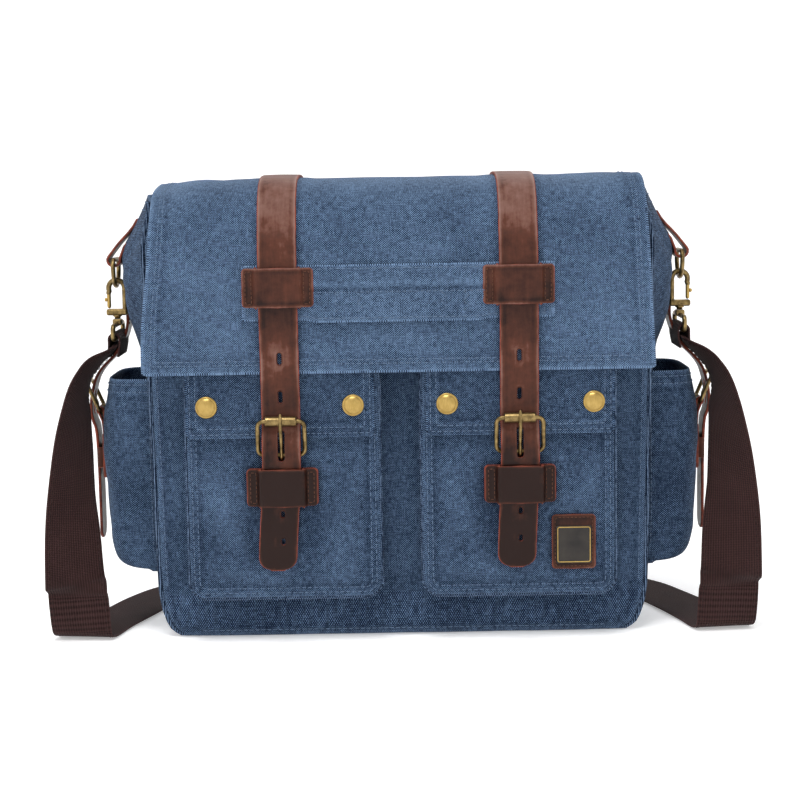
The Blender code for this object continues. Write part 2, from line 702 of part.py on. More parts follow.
def make_side_keeper(label, side):
    """A leather tab on the pocket: an eye for the buckle above, and a loop for the belt's end."""
    buckle = side_buckle(side)
    front = 3.3 * MM
    fold = buckle.fold(0.3 * MM, front, 100 * MM, 10 * MM)
    keeper = add_piece(f"side_keeper_{label}", fold, "leather")
    plate = box((-TAB_HALF, 0.3 * MM, 100 * MM), (TAB_HALF, front, 134 * MM))
    combine(keeper, (buckle.points(plate[0]), plate[1]), "UNION")
    loop = [(-13.4 * MM, 2 * MM), (-13.0 * MM, 7.2 * MM), (13.0 * MM, 7.2 * MM), (13.4 * MM, 2 * MM)]
    loop = prism(strip(loop, KEEPER_THICK), buckle.place, 108 * MM, 124 * MM)
    combine(keeper, loop, "UNION")
    combine(keeper, buckle.bar_hole(20 * MM), "DIFFERENCE")
    combine(keeper, buckle.prong_notch(2.6 * MM), "DIFFERENCE")


# --- Rings, hooks and the shoulder strap ---


def make_ring_chape(label, side):
    """A leather tab sewn to the gusset and doubled round the ring's straight bar."""

    def place(x, z, y):
        return (side * x, HANG_Y + y, z)

    bar = (HANG_X, RING_BAR_Z)
    inner = [(gusset_x(z) + 0.5 * MM, z) for z in (303 * MM, 290 * MM, 280 * MM, 276 * MM)]
    outer = [(gusset_x(z) + 4.2 * MM, z) for z in (284 * MM, 292 * MM, 303 * MM)]
    outline = inner + arc(bar, 3.8 * MM, 190, 390, 10) + outer
    chape = prism(outline, place, -10.4 * MM, 10.4 * MM)
    chape = add_piece(f"ring_chape_{label}", chape, "leather")
    hole = arc(bar, RING_WIRE + GAP, 0, 330, 11)
    combine(chape, prism(hole, place, -20 * MM, 20 * MM), "DIFFERENCE")


def make_ring(label, side):
    """A D ring that hangs edge on to the front."""
    corner = 4 * MM
    top = RING_BAR_Z - corner
    path = arc((RING_HALF - corner, top), corner, 90, 0, 3)
    drop = top - RING_LOW_Z
    for angle in np.radians(np.linspace(0, -180, 13))[1:-1]:
        path.append((RING_HALF * math.cos(angle), top + drop * math.sin(angle)))
    path += arc((corner - RING_HALF, top), corner, 180, 90, 3)
    points = [(side * HANG_X, HANG_Y + y, z) for y, z in path]
    add_piece(f"d_ring_{label}", wire(points, RING_WIRE, (1, 0, 0), closed=True), "brass")


def make_hook(label, side):
    """A snap hook: a bend over the ring, a base block and the swivel's stem."""
    base = box((-8 * MM, -3.5 * MM, HOOK_BASE_LOW), (8 * MM, 3.5 * MM, HOOK_BASE_TOP))
    base = ([(side * (HANG_X + x), HANG_Y + y, z) for x, y, z in base[0]], base[1])
    hook = add_piece(f"hook_body_{label}", base, "brass")
    inner, outer = (-HOOK_BEND, HOOK_BASE_TOP - 2 * MM), (HOOK_BEND, 243 * MM)
    path = [inner] + arc((0, HOOK_BEND_Z), HOOK_BEND, 180, 0, 10) + [outer]
    points = [(side * (HANG_X + x), HANG_Y, z) for x, z in path]
    combine(hook, wire(points, HOOK_WIRE, (0, 1, 0)), "UNION")
    stem = [(side * HANG_X, HANG_Y, z) for z in (HOOK_STEM_LOW, HOOK_BASE_LOW + 1 * MM)]
    combine(hook, wire(stem, 2.4 * MM, (0, 1, 0)), "UNION")
    axis = pivot(f"hook_gate_axis_{label}", (side * (HANG_X + HOOK_BEND), HANG_Y, GATE_AXIS_Z))
    gate = [(side * (HANG_X + HOOK_BEND), HANG_Y, z) for z in (231.8 * MM, 242.6 * MM)]
    add_piece(f"hook_gate_{label}", wire(gate, GATE_WIRE, (0, 1, 0)), "brass", axis)


def make_hook_eye(label, side):
    """The swivel's eye, as wide as the webbing."""
    flat = rounded_rectangle((-EYE_HALF, EYE_LOW_Z), (EYE_HALF, EYE_TOP_Z), 3.5 * MM)
    points = [(side * HANG_X, HANG_Y + y, z) for y, z in flat]
    eye = add_piece(f"hook_eye_{label}", wire(points, EYE_WIRE, (1, 0, 0), closed=True), "brass")
    low = (-3.5 * MM, -4.5 * MM, EYE_TOP_Z - 1 * MM)
    boss = box(low, (3.5 * MM, 4.5 * MM, HOOK_STEM_LOW - GAP))
    boss = ([(side * HANG_X + x, HANG_Y + y, z) for x, y, z in boss[0]], boss[1])
    combine(eye, boss, "UNION")


def webbing_stations():
    rows = [(*centre, *width) for centre, width in WEBBING_ROUTE]
    stations = smooth_route(rows, STATIONS_PER_LEG)
    return stations[:, :3], stations[:, 3:]


def make_shoulder_strap():
    """Webbing from hook to hook. It hangs at each side and lies on the floor behind the bag."""
    centres, widths = webbing_stations()
    strap = ribbon(centres, widths, WEBBING_WIDTH, WEBBING_THICK)
    add_piece("strap_webbing", strap, "webbing")
    behind = [i for i, centre in enumerate(centres) if centre[1] > 0.09 and centre[0] > -0.06]
    lifted = centres[behind] + np.array([0, 0, (WEBBING_THICK + PAD_THICK) / 2 + GAP])
    add_piece("shoulder_pad", ribbon(lifted, widths[behind], PAD_WIDTH, PAD_THICK), "leather")
    make_slider(centres)


def make_slider(centres):
    """A flat three-bar slide that sets the strap's length."""
    nearest = int(np.argmin(np.abs(centres[:, 0] + 0.12) + (centres[:, 1] < 0.09)))
    along = centres[nearest + 1] - centres[nearest - 1]
    turn = math.atan2(along[1], along[0])
    low = WEBBING_THICK / 2 + GAP

    def place(u, v, w):
        x = u * math.cos(turn) - v * math.sin(turn)
        y = u * math.sin(turn) + v * math.cos(turn)
        return (centres[nearest][0] + x, centres[nearest][1] + y, centres[nearest][2] + w)

    plate = rounded_rectangle((-14 * MM, -27 * MM), (14 * MM, 27 * MM), 4 * MM)
    slider = add_piece("strap_slider", prism(plate, place, low, low + 2.6 * MM), "brass")
    for centre in (-6 * MM, 6 * MM):
        window = rounded_rectangle((centre - 3.8 * MM, -23.5 * MM), (centre + 3.8 * MM, 23.5 * MM), 2 * MM)
        combine(slider, prism(window, place, low - 2 * MM, low + 6 * MM), "DIFFERENCE")


def make_label():
    """A leather patch with a plain metal plate, low on the right front pocket."""
    back = POCKET_FACE - GAP
    patch = rounded_rectangle((109 * MM, 41 * MM), (141 * MM, 81 * MM), 3 * MM)
    add_piece("label_patch", prism(patch, front_on, back, back - 1.8 * MM), "leather")
    back -= 1.8 * MM + GAP
    plate = rounded_rectangle((112 * MM, 45 * MM), (138 * MM, 73 * MM), 1.5 * MM)
    add_piece("label_plate", prism(plate, front_on, back, back - 1 * MM), "plate")


def main():
    clear_scene()
    make_panels()
    make_base()
    make_lining()
    make_divider()
    make_label()
    flap_axis = pivot("flap_axis", FLAP_HINGE)
    make_flap_panel(flap_axis)
    make_carry_handle(flap_axis)
    for label, side in SIDES.items():
        make_gusset(label, side)
        make_front_pocket(label, side)
        make_side_pocket(label, side)
        make_pocket_flap(label, side)
        make_flap_strap(label, side, flap_axis)
        make_upper_keeper(label, side, flap_axis)
        make_front_buckle(label, side, flap_axis)
        make_buckle_chape(label, side, flap_axis)
        make_magnet_socket(label, side)
        make_side_belt(label, side)
        make_side_buckle(label, side)
        make_side_keeper(label, side)
        make_ring_chape(label, side)
        make_ring(label, side)
        make_hook(label, side)
        make_hook_eye(label, side)
    make_shoulder_strap()


main()
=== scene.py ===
"""A canvas and leather messenger bag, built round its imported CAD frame. Metres, +Z up, front towards -Y."""

import math

import bmesh
import bpy
import numpy as np
from mathutils import Matrix, Vector


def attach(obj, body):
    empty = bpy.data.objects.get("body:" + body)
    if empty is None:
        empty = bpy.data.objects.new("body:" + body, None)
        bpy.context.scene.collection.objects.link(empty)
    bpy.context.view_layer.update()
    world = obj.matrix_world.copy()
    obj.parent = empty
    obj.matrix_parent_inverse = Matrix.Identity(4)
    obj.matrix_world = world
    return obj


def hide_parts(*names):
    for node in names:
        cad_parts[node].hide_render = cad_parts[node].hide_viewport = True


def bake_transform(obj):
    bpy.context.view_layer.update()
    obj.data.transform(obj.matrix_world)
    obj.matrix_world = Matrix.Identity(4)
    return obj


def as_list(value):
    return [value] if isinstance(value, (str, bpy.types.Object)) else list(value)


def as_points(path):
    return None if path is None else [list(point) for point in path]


MM = 0.001
TAU = 2 * math.pi
SIDES = {"left": -1, "right": 1}

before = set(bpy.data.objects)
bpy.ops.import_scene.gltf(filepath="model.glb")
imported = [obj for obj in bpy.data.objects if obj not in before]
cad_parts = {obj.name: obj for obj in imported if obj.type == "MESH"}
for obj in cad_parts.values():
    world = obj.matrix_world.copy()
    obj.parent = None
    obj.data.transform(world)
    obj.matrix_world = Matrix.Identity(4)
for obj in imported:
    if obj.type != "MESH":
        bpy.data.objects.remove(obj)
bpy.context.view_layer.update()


# --- Numbers that the CAD model also uses ---

# Heights are drawn from a line RISE above the floor, and the body's foot stretches down to the floor.
RISE = 12 * MM
FOOT = (7 * MM, 22 * MM)
SHELL_HEIGHT = 304 * MM
SHELL_CORNER = 26 * MM
SEAM_Y = 55.5 * MM
POCKET_FACE = -84 * MM
POCKET_X = (15 * MM, 156 * MM)
POCKET_Z = (22 * MM, 206 * MM)
SIDE_ROOT = 186 * MM
SIDE_HALF = 49 * MM
STRAP_X = 86 * MM
STRAP_HALF = 14 * MM
STRAP_THICK = 2.8 * MM
STRAP_SLOTS = [(199, 8.6, 3), (171, 8.6, 3), (136, 22, 5), (86, 5, 3), (66, 5, 3)]
FLAP_THICK = 3.4 * MM
FLAP_MM = [(60, 306.6), (59, 315), (50, 322), (20, 325.5), (-25, 326), (-62, 322.5), (-82, 309)]
FLAP_MM += [(-88.6, 288), (-89.3, 268), (-89.3, 189)]
LID_MM = [(-62, 210), (-80, 210.5), (-85.75, 210), (-85.75, 204), (-85.75, 141)]
BELT_Y = 12 * MM
HANG_X = 214 * MM
HANG_Y = -4 * MM
WEBBING_WIDTH = 45 * MM
WEBBING_THICK = 1.4 * MM
# Rows along the webbing: x, y and height of its middle, then x and y of its width's direction.
LEFT_FALL = [
    (-0.2150, -0.004, 0.2050, 0, 1),
    (-0.2167, -0.0045, 0.2000, 0, 1),
    (-0.2240, -0.010, 0.1930, 0.04, 1),
    (-0.2320, -0.021, 0.1840, 0.10, 1),
    (-0.2370, -0.033, 0.1730, 0.18, 0.98),
    (-0.2400, -0.043, 0.1580, 0.30, 0.95),
    (-0.2420, -0.052, 0.1350, 0.46, 0.89),
    (-0.2430, -0.064, 0.1000, 0.62, 0.78),
    (-0.2420, -0.073, 0.0600, 0.84, 0.54),
    (-0.2410, -0.075, 0.0300, 0.94, 0.34),
    (-0.2400, -0.070, 0.0090, 0.99, 0.10),
    (-0.2370, -0.055, 0.0014, 0.98, -0.20),
    (-0.2280, -0.020, 0.0013, 0.95, -0.30),
    (-0.2150, 0.020, 0.0013, 0.94, -0.33),
    (-0.2020, 0.060, 0.0013, 0.92, -0.40),
    (-0.1840, 0.094, 0.0013, 0.78, -0.62),
    (-0.1520, 0.118, 0.0013, 0.45, -0.89),
    (-0.1050, 0.130, 0.0013, 0.18, -0.98),
    (-0.0500, 0.134, 0.0013, 0.03, -1),
]
RIGHT_RISE = [
    (0.0100, 0.135, 0.0013, 0, -1),
    (0.0700, 0.134, 0.0013, -0.05, -1),
    (0.1250, 0.128, 0.0013, -0.22, -0.97),
    (0.1650, 0.112, 0.0013, -0.52, -0.85),
    (0.1910, 0.084, 0.0013, -0.84, -0.54),
    (0.2060, 0.050, 0.0013, -0.93, -0.36),
    (0.2200, 0.010, 0.0013, -0.95, -0.30),
    (0.2310, -0.028, 0.0013, -0.96, -0.27),
    (0.2380, -0.056, 0.0014, -0.98, -0.16),
    (0.2405, -0.071, 0.0090, -0.99, 0.06),
    (0.2415, -0.076, 0.0300, -0.97, 0.24),
    (0.2420, -0.074, 0.0600, -0.90, 0.44),
    (0.2430, -0.066, 0.1000, -0.68, 0.73),
    (0.2420, -0.053, 0.1350, -0.48, 0.88),
    (0.2400, -0.043, 0.1580, -0.32, 0.95),
    (0.2370, -0.033, 0.1730, -0.18, 0.98),
    (0.2315, -0.021, 0.1840, -0.10, 1),
    (0.2235, -0.010, 0.1930, -0.04, 1),
    (0.2167, -0.0045, 0.2000, 0, 1),
    (0.2150, -0.004, 0.2050, 0, 1),
]


# --- Numbers of the cloth alone ---

# The gussets bulge by height, a little fuller than their CAD solids.
BULGE_Z = np.array([20, 60, 175, 200, 225, 250, 280, 304]) * MM
BULGE = np.array([0, 2, 9, 14, 21, 22.5, 19.5, 7]) * MM
# The mouth leans in and rises under the flap.
MOUTH_LEAN, MOUTH_LIFT = 6 * MM, 12 * MM
POCKET_CORNER = 12 * MM
# How steeply the webbing tips outwards where it comes down to the floor.
CURL = 0.55
# Rows of stitches, by their distance in from the edge.
FLAP_ROWS = (5.5 * MM, 8.3 * MM)
POCKET_ROWS = (3.9 * MM, 7.4 * MM)
LID_ROWS = (2.8 * MM, 7 * MM)
# Pitch, length and radius of the stitches in small leather parts.
FINE_STITCH = (3.1 * MM, 2.3 * MM, 0.3 * MM)

# --- Hardware and leather that other pieces meet ---

SNAP_X = (34 * MM, 140 * MM)
SNAP_Z = 164 * MM
SNAP_SEAT_Y = -87.3 * MM
MAGNET_Z = 106 * MM
LABEL_X, LABEL_HALF = 125 * MM, 15.6 * MM
LABEL_Z = (41 * MM, 81 * MM)
LABEL_MIDDLE_Z = 61 * MM
# The plate's corners, by x and height, and its faces by y.
PLATE = (112.2 * MM, 45.2 * MM, 137.8 * MM, 72.8 * MM)
PLATE_Y = (-87.1 * MM, -86.2 * MM)
# In millimetres: a keeper's or chape's lower and upper edge, and a buckle's hinge bar and top bar
# by their distance off the bag and their height.
UPPER_KEEPER = (236, 264)
LOWER_KEEPER = (92, 119)
FRONT_BARS = ((7.0, 129), (11.0, 154))
SIDE_BARS = ((4.6, 152), (14.0, 174))

# --- Picture ---

CAMERA_AIM = (0.0, -0.09, 0.1675 + RISE)
CAMERA_TILT, CAMERA_ROLL = math.radians(7.0), math.radians(-0.95)
CAMERA_DISTANCE = 1.360
LIGHT_AIM = (0, 0, 0.16)
SKY_STRENGTH = 0.28
FLAT_FLOOR, BOWL = 2.2, 1.8


# --- Materials ---


class Look:
    """A Principled material, with short ways to add nodes to it."""

    def __init__(self, name, roughness=0.8, metallic=0.0, **sockets):
        self.material = bpy.data.materials.new(name)
        self.material.use_nodes = True
        self.tree = self.material.node_tree
        self.shader = self.tree.nodes["Principled BSDF"]
        self.shader.inputs["Roughness"].default_value = roughness
        self.shader.inputs["Metallic"].default_value = metallic
        for socket, value in sockets.items():
            self.shader.inputs[socket.replace("_", " ")].default_value = value
        self.coords = self.tree.nodes.new("ShaderNodeTexCoord")

    def node(self, kind, inputs=(), **settings):
        made = self.tree.nodes.new(f"ShaderNode{kind}")
        for key, value in settings.items():
            setattr(made, key, value)
        for key, value in dict(inputs).items():
            self.feed(made.inputs[key], value)
        return made

    def feed(self, socket, value):
        """Sets a socket to a value, or links it to another node's output."""
        if isinstance(value, bpy.types.NodeSocket):
            self.tree.links.new(value, socket)
        else:
            socket.default_value = value

    def place(self, source="UV", scale=(1, 1, 1)):
        return self.node("Mapping", {"Vector": self.coords.outputs[source], "Scale": scale}).outputs[0]

    def noise(self, where, scale, detail=3.0, roughness=0.55):
        inputs = {"Vector": where, "Scale": scale, "Detail": detail, "Roughness": roughness}
        return self.node("TexNoise", inputs).outputs["Fac"]

    def waves(self, where, period, axis, distortion=0.0):
        inputs = {"Vector": where, "Scale": TAU / (20 * period), "Distortion": distortion, "Detail": 1.0}
        return self.node("TexWave", inputs, bands_direction=axis).outputs["Fac"]

    def cells(self, where, scale, feature="F1"):
        return self.node("TexVoronoi", {"Vector": where, "Scale": scale}, feature=feature).outputs["Distance"]

    def maths(self, operation, a, b=0.0):
        return self.node("Math", {0: a, 1: b}, operation=operation).outputs[0]

    def span(self, value, low, high, to_low=0.0, to_high=1.0):
        inputs = {"Value": value, "From Min": low, "From Max": high, "To Min": to_low, "To Max": to_high}
        return self.node("MapRange", inputs).outputs[0]

    def mix(self, share, a, b):
        made = self.node("Mix", data_type="RGBA")
        self.feed(made.inputs["Factor"], share)
        for socket, value in ((made.inputs[6], a), (made.inputs[7], b)):
            self.feed(socket, (*value, 1) if isinstance(value, tuple) else value)
        return made.outputs[2]

    def plus(self, total, value, share):
        """The total with a share of the value added."""
        return self.maths("ADD", total, self.maths("MULTIPLY", value, share))

    def shade(self, value, low, high, first, second):
        """The first colour where the value is low, the second where it is high, and a mix between."""
        return self.mix(self.span(value, low, high), first, second)

    # The wear attribute lightens and darkens the colour. It holds rubbed wear on edges and hems, and also
    # painted light and painted shade: paler tops, darker grooves, shadow bands beside the straps, and pieces
    # painted darker low down and on the right.
    def wear_and_shade(self):
        return self.node("Attribute", attribute_name="wear_and_shade").outputs["Fac"]

    def colour(self, value):
        self.feed(self.shader.inputs["Base Color"], value)

    def gloss(self, value):
        self.feed(self.shader.inputs["Roughness"], value)

    def bumps(self, *layers):
        """Bump from (height, strength, distance) layers, the coarsest first."""
        normal = None
        for height, strength, distance in layers:
            inputs = {"Height": height, "Strength": strength, "Distance": distance}
            if normal is not None:
                inputs["Normal"] = normal
            normal = self.node("Bump", inputs).outputs[0]
        self.feed(self.shader.inputs["Normal"], normal)


def canvas_look(name, dark, light, pale, source="UV"):
    """Stone-washed canvas: slubby plain weave, blotches from the wash, pale rubbed ridges, and painted light
    and painted shade from the mesh attribute.
    """
    look = Look(name, roughness=0.92, Specular_IOR_Level=0.12, Sheen_Weight=0.03, Sheen_Roughness=0.5)
    where = look.place(source)
    weft = look.noise(look.place(source, (0.16, 1, 1)), 1150, 2)
    warp = look.noise(look.place(source, (1, 0.16, 1)), 1150, 2)
    columns = look.waves(where, 1.7 * MM, "X", 1.6)
    rows = look.waves(where, 1.5 * MM, "Y", 1.6)
    checks = look.maths("MULTIPLY", look.maths("SUBTRACT", columns, 0.5), look.maths("SUBTRACT", rows, 0.5))
    slubs = look.maths("ADD", weft, warp)
    threads = look.plus(slubs, checks, 2.8)
    blotch = look.noise(where, 17, 4, 0.6)
    speck = look.noise(where, 230, 3, 0.75)
    tone = look.plus(look.maths("MULTIPLY", blotch, 0.50), speck, 0.75)
    # The wear comes in here: rubbed wear, with painted light and painted shade.
    tone = look.plus(look.plus(tone, threads, 1.15), look.wear_and_shade(), 0.32)
    base = look.shade(tone, 1.53, 2.20, dark, light)
    # The pale colour on the highest tone: washed-out threads, and painted highlights on the thread tops.
    look.colour(look.mix(look.span(tone, 1.90, 2.40, 0.0, 0.85), base, pale))
    look.gloss(look.span(slubs, 0.7, 1.3, 0.98, 0.82))
    look.bumps((blotch, 0.25, 1.2 * MM), (threads, 0.55, 0.45 * MM))
    return look.material


def leather_look(name, deep, warm, pale, source="UV", polish=0.44):
    """Oiled pull-up leather: fine grain, scuffs along its length, warm colour where it bends, and painted
    light and painted shade from the mesh attribute.
    """
    look = Look(name, Specular_IOR_Level=0.17)
    where = look.place(source)
    grain = look.cells(where, 1250)
    pores = look.noise(where, 2400, 2, 0.6)
    cloud = look.noise(where, 26, 5, 0.62)
    mottle = look.noise(where, 130, 4, 0.65)
    scuffs = look.noise(look.place(source, (1, 0.14, 1)), 420, 3, 0.7)
    tone = look.plus(look.maths("MULTIPLY", cloud, 0.9), mottle, 0.45)
    # The wear comes in here: rubbed edges, with painted light and painted shade on the straps and keepers.
    tone = look.plus(look.plus(tone, scuffs, 0.28), look.wear_and_shade(), 0.45)
    base = look.shade(tone, 0.62, 1.15, deep, warm)
    # The pale colour on the highest tone: pull-up where the leather bends, and painted light on the tops of
    # the straps.
    look.colour(look.shade(tone, 1.04, 1.66, base, pale))
    look.gloss(look.span(tone, 0.6, 1.3, polish - 0.07, polish + 0.16))
    look.bumps((cloud, 0.3, 0.9 * MM), (grain, 0.3, 0.22 * MM), (pores, 0.22, 0.12 * MM))
    return look.material


def raw_edge_look():
    """The cut edge of leather, stained orange red, with pressed fibres."""
    look = Look("raw_leather_edge", roughness=0.72)
    where = look.place("Object")
    fibres = look.noise(look.place("Object", (1, 1, 2.5)), 900, 3)
    stain = look.noise(where, 160, 3)
    look.colour(look.shade(stain, 0.35, 0.7, (0.10, 0.014, 0.007), (0.27, 0.045, 0.016)))
    look.bumps((fibres, 0.5, 0.2 * MM))
    return look.material


def webbing_look():
    """Ribbed webbing: cords along its length, crossed by a fine weft."""
    look = Look("webbing", roughness=0.88, Specular_IOR_Level=0.12, Sheen_Weight=0.04, Sheen_Roughness=0.45)
    where = look.place()
    cords = look.waves(where, 1.9 * MM, "X")
    weft = look.waves(where, 1.25 * MM, "Y", 0.6)
    fuzz = look.noise(where, 1500, 2)
    height = look.plus(look.maths("MULTIPLY", cords, 0.7), weft, 0.6)
    tone = look.plus(look.plus(height, fuzz, 0.9), look.noise(where, 40, 3), 0.5)
    look.colour(look.shade(tone, 0.75, 1.9, (0.0085, 0.0038, 0.0038), (0.052, 0.024, 0.0225)))
    look.bumps((height, 0.8, 0.5 * MM), (fuzz, 0.3, 0.15 * MM))
    return look.material


def metal_look(name, deep, bright, roughness, patina=0.5):
    """Metal with darker patina in blotches, fine scratches, and a brighter rubbed finish between them."""
    look = Look(name, metallic=1.0)
    where = look.place("Object")
    blotch = look.noise(where, 230, 4, 0.65)
    scratch = look.noise(look.place("Object", (1, 1, 0.12)), 1900, 2, 0.6)
    tone = look.plus(look.maths("MULTIPLY", blotch, patina), scratch, 0.3)
    look.colour(look.shade(tone, 0.2 + 0.2 * patina, 0.45 + 0.45 * patina, deep, bright))
    look.gloss(look.span(tone, 0.25, 0.75, roughness + 0.14, roughness - 0.05))
    look.bumps((blotch, 0.2, 0.2 * MM), (scratch, 0.12, 0.05 * MM))
    return look.material


def thread_look(name, dark, light):
    """Twisted sewing thread."""
    look = Look(name, roughness=0.8, Specular_IOR_Level=0.2)
    where = look.place("Object")
    twist = look.noise(where, 1800, 2)
    look.colour(look.shade(twist, 0.35, 0.65, dark, light))
    look.bumps((twist, 0.5, 0.2 * MM))
    return look.material


def lining_look():
    """Thin plain-woven cotton lining."""
    look = Look("lining_cotton", roughness=0.85, Sheen_Weight=0.2)
    where = look.place("Object")
    weave = look.noise(look.place("Object", (1, 1, 0.2)), 1900, 2)
    weft = look.noise(look.place("Object", (0.2, 0.2, 1)), 1900, 2)
    tone = look.plus(look.maths("ADD", weave, weft), look.noise(where, 30), 0.6)
    look.colour(look.shade(tone, 1.0, 1.6, (0.10, 0.08, 0.058), (0.235, 0.195, 0.15)))
    look.bumps((weave, 0.3, 0.2 * MM), (weft, 0.3, 0.2 * MM))
    return look.material


def board_look():
    """Grey-brown fibre board."""
    look = Look("fibre_board", roughness=0.85)
    where = look.place("Object")
    fibre = look.noise(look.place("Object", (0.2, 1, 1)), 700, 5)
    look.colour(look.shade(fibre, 0.3, 0.7, (0.13, 0.105, 0.08), (0.26, 0.22, 0.17)))
    look.bumps((fibre, 0.4, 0.3 * MM), (look.noise(where, 300), 0.2, 0.2 * MM))
    return look.material


def enamel_look():
    """The label's plain dark plate."""
    look = Look("plate_enamel", metallic=0.4)
    where = look.place("Object")
    brushed = look.noise(look.place("Object", (0.08, 1, 1)), 1500, 2)
    cloud = look.noise(where, 90, 3)
    look.colour(look.shade(cloud, 0.3, 0.7, (0.013, 0.011, 0.010), (0.034, 0.028, 0.023)))
    look.gloss(look.span(brushed, 0.3, 0.7, 0.30, 0.46))
    look.bumps((brushed, 0.15, 0.05 * MM))
    return look.material


def floor_look():
    """White studio paper, with a little light of its own to stay white at the camera's angle."""
    look = Look("floor", roughness=0.75)
    where = look.place("Object")
    look.colour(look.shade(look.noise(where, 3, 2), 0.3, 0.7, (0.90, 0.90, 0.905), (0.925, 0.925, 0.925)))
    look.shader.inputs["Emission Color"].default_value = (1, 1, 1, 1)
    look.shader.inputs["Emission Strength"].default_value = FLOOR_GLOW
    return look.material


FLOOR_GLOW = 0.33
CANVAS = canvas_look("canvas", (0.0036, 0.0092, 0.0250), (0.064, 0.113, 0.204), (0.165, 0.255, 0.395))
# Piping has no woven coordinates, so its weave is laid in space.
CANVAS_PLAIN = canvas_look(
    "canvas_object", (0.0038, 0.0092, 0.0245), (0.060, 0.102, 0.182), (0.16, 0.23, 0.34), "Object"
)
LEATHER = leather_look("leather", (0.016, 0.0058, 0.0040), (0.100, 0.031, 0.0170), (0.26, 0.155, 0.130))
RAW_EDGE = raw_edge_look()
HIDE = [LEATHER, RAW_EDGE]
WEBBING = webbing_look()
BRASS = metal_look("antique_brass", (0.060, 0.040, 0.017), (0.46, 0.325, 0.135), 0.36, 0.8)
GOLD = metal_look("polished_brass", (0.42, 0.28, 0.085), (0.72, 0.51, 0.19), 0.27, 0.3)
STEEL = metal_look("nickel_steel", (0.30, 0.29, 0.28), (0.58, 0.57, 0.55), 0.32, 0.4)
THREAD = thread_look("blue_thread", (0.055, 0.088, 0.150), (0.15, 0.215, 0.315))
THREAD_BROWN = thread_look("brown_thread", (0.06, 0.022, 0.012), (0.15, 0.062, 0.034))
THREAD_DARK = thread_look("dark_thread", (0.012, 0.006, 0.006), (0.05, 0.026, 0.024))
LINING = lining_look()
BOARD = board_look()
ENAMEL = enamel_look()


# --- Shape helpers ---


def arr(points):
    return np.array(points, float)


def raised(points):
    """Drawn points at their heights above the floor."""
    points = arr(points)
    points[..., 2] += RISE * np.clip((points[..., 2] - FOOT[0]) / (FOOT[1] - FOOT[0]), 0, 1)
    return points


def unit(vectors):
    return vectors / np.maximum(np.linalg.norm(vectors, axis=-1, keepdims=True), 1e-12)


def smoothstep(value, low, high):
    t = np.clip((value - low) / (high - low), 0, 1)
    return t * t * (3 - 2 * t)


def bell(value, centre, width):
    return np.exp(-(((value - centre) / width) ** 2))


def softened(points, rounds=2):
    """A polyline with its corners cut off again and again, and its ends kept."""
    path = [arr(point) for point in points]
    for _ in range(rounds):
        cut = [path[0]]
        for a, b in zip(path, path[1:]):
            cut += [0.75 * a + 0.25 * b, 0.25 * a + 0.75 * b]
        path = cut + [path[-1]]
    return arr(path)


def run_along(points):
    """The length along a polyline at each of its points."""
    return np.concatenate([[0], np.cumsum(np.linalg.norm(np.diff(points, axis=0), axis=1))])


def walked(outline, step):
    """A closed outline with its long sides divided into short steps."""
    dense = []
    for p, q in zip(outline, np.roll(outline, -1, axis=0)):
        count = max(1, int(np.linalg.norm(q - p) / step))
        dense += [p + (q - p) * i / count for i in range(count)]
    return dense


def arc(centre, radius, start, end, steps):
    angles = np.radians(np.linspace(start, end, steps + 1))
    return np.stack([centre[0] + radius * np.cos(angles), centre[1] + radius * np.sin(angles)], axis=1)


def ripples(a, b, seed, sizes=(70, 34, 16), shares=(1.0, 0.5, 0.22)):
    """Soft random undulation over two lengths, about -1 to 1."""
    rng = np.random.default_rng(seed)
    total = 0.0
    for size, share in zip(sizes, shares):
        for _ in range(4):
            turn, first, second = rng.uniform(0, TAU, 3)
            along = a * math.cos(turn) + b * math.sin(turn)
            across = b * math.cos(turn) - a * math.sin(turn)
            bend = 0.9 * np.sin(across * TAU / (2.2 * size * MM) + first)
            total = total + share / 4 * np.sin(along * TAU / (size * MM) + bend + second)
    return total


def creases(a, b, rows):
    """Soft folds, each a ridge from (a0, b0) to (a1, b1) with a width and a height, all in millimetres."""
    total = np.zeros(np.broadcast(a, b).shape)
    for a0, b0, a1, b1, width, height in rows:
        start, along = arr([a0, b0]) * MM, arr([a1 - a0, b1 - b0]) * MM
        length = np.linalg.norm(along)
        t = ((a - start[0]) * along[0] + (b - start[1]) * along[1]) / length**2
        off = ((b - start[1]) * along[0] - (a - start[0]) * along[1]) / length
        fade = smoothstep(t, -0.25, 0.25) * (1 - smoothstep(t, 0.7, 1.25))
        total += height * MM * fade * np.exp(-((off / (width * MM)) ** 2))
    return total


def hem(edge, width=9 * MM, rows=(3.2 * MM, 7 * MM)):
    """(height, tone) of a turned and stitched hem, by the distance in from the cloth's edge: pale where
    rubbed, and darker in the grooves with painted shade.
    """
    height = 0.55 * MM * (1 - smoothstep(edge, width - 1.2 * MM, width + 0.8 * MM))
    wear_and_shade = 0.75 * bell(edge, 0, 1.1 * MM) + 0.4 * bell(edge, width - 1 * MM, 0.9 * MM)
    # Darker just past the hem and along the stitch rows: the wash's own pattern, and painted shade in these
    # grooves.
    wear_and_shade = wear_and_shade - 0.55 * bell(edge, width + 1.2 * MM, 1.4 * MM)
    for row in rows:
        height = height - 0.3 * MM * bell(edge, row, 0.9 * MM)
        wear_and_shade = wear_and_shade - 0.3 * bell(edge, row, 0.7 * MM)
    return height, wear_and_shade


def rounding(edge, radius):
    """How far a surface falls back within a rounded edge."""
    t = 1 - np.clip(edge / radius, 0, 1)
    return radius * (1 - np.sqrt(np.maximum(1 - t * t, 0)))


def grid_normals(points):
    across = np.gradient(points, axis=1)
    down = np.gradient(points, axis=0)
    return unit(np.cross(across, down))


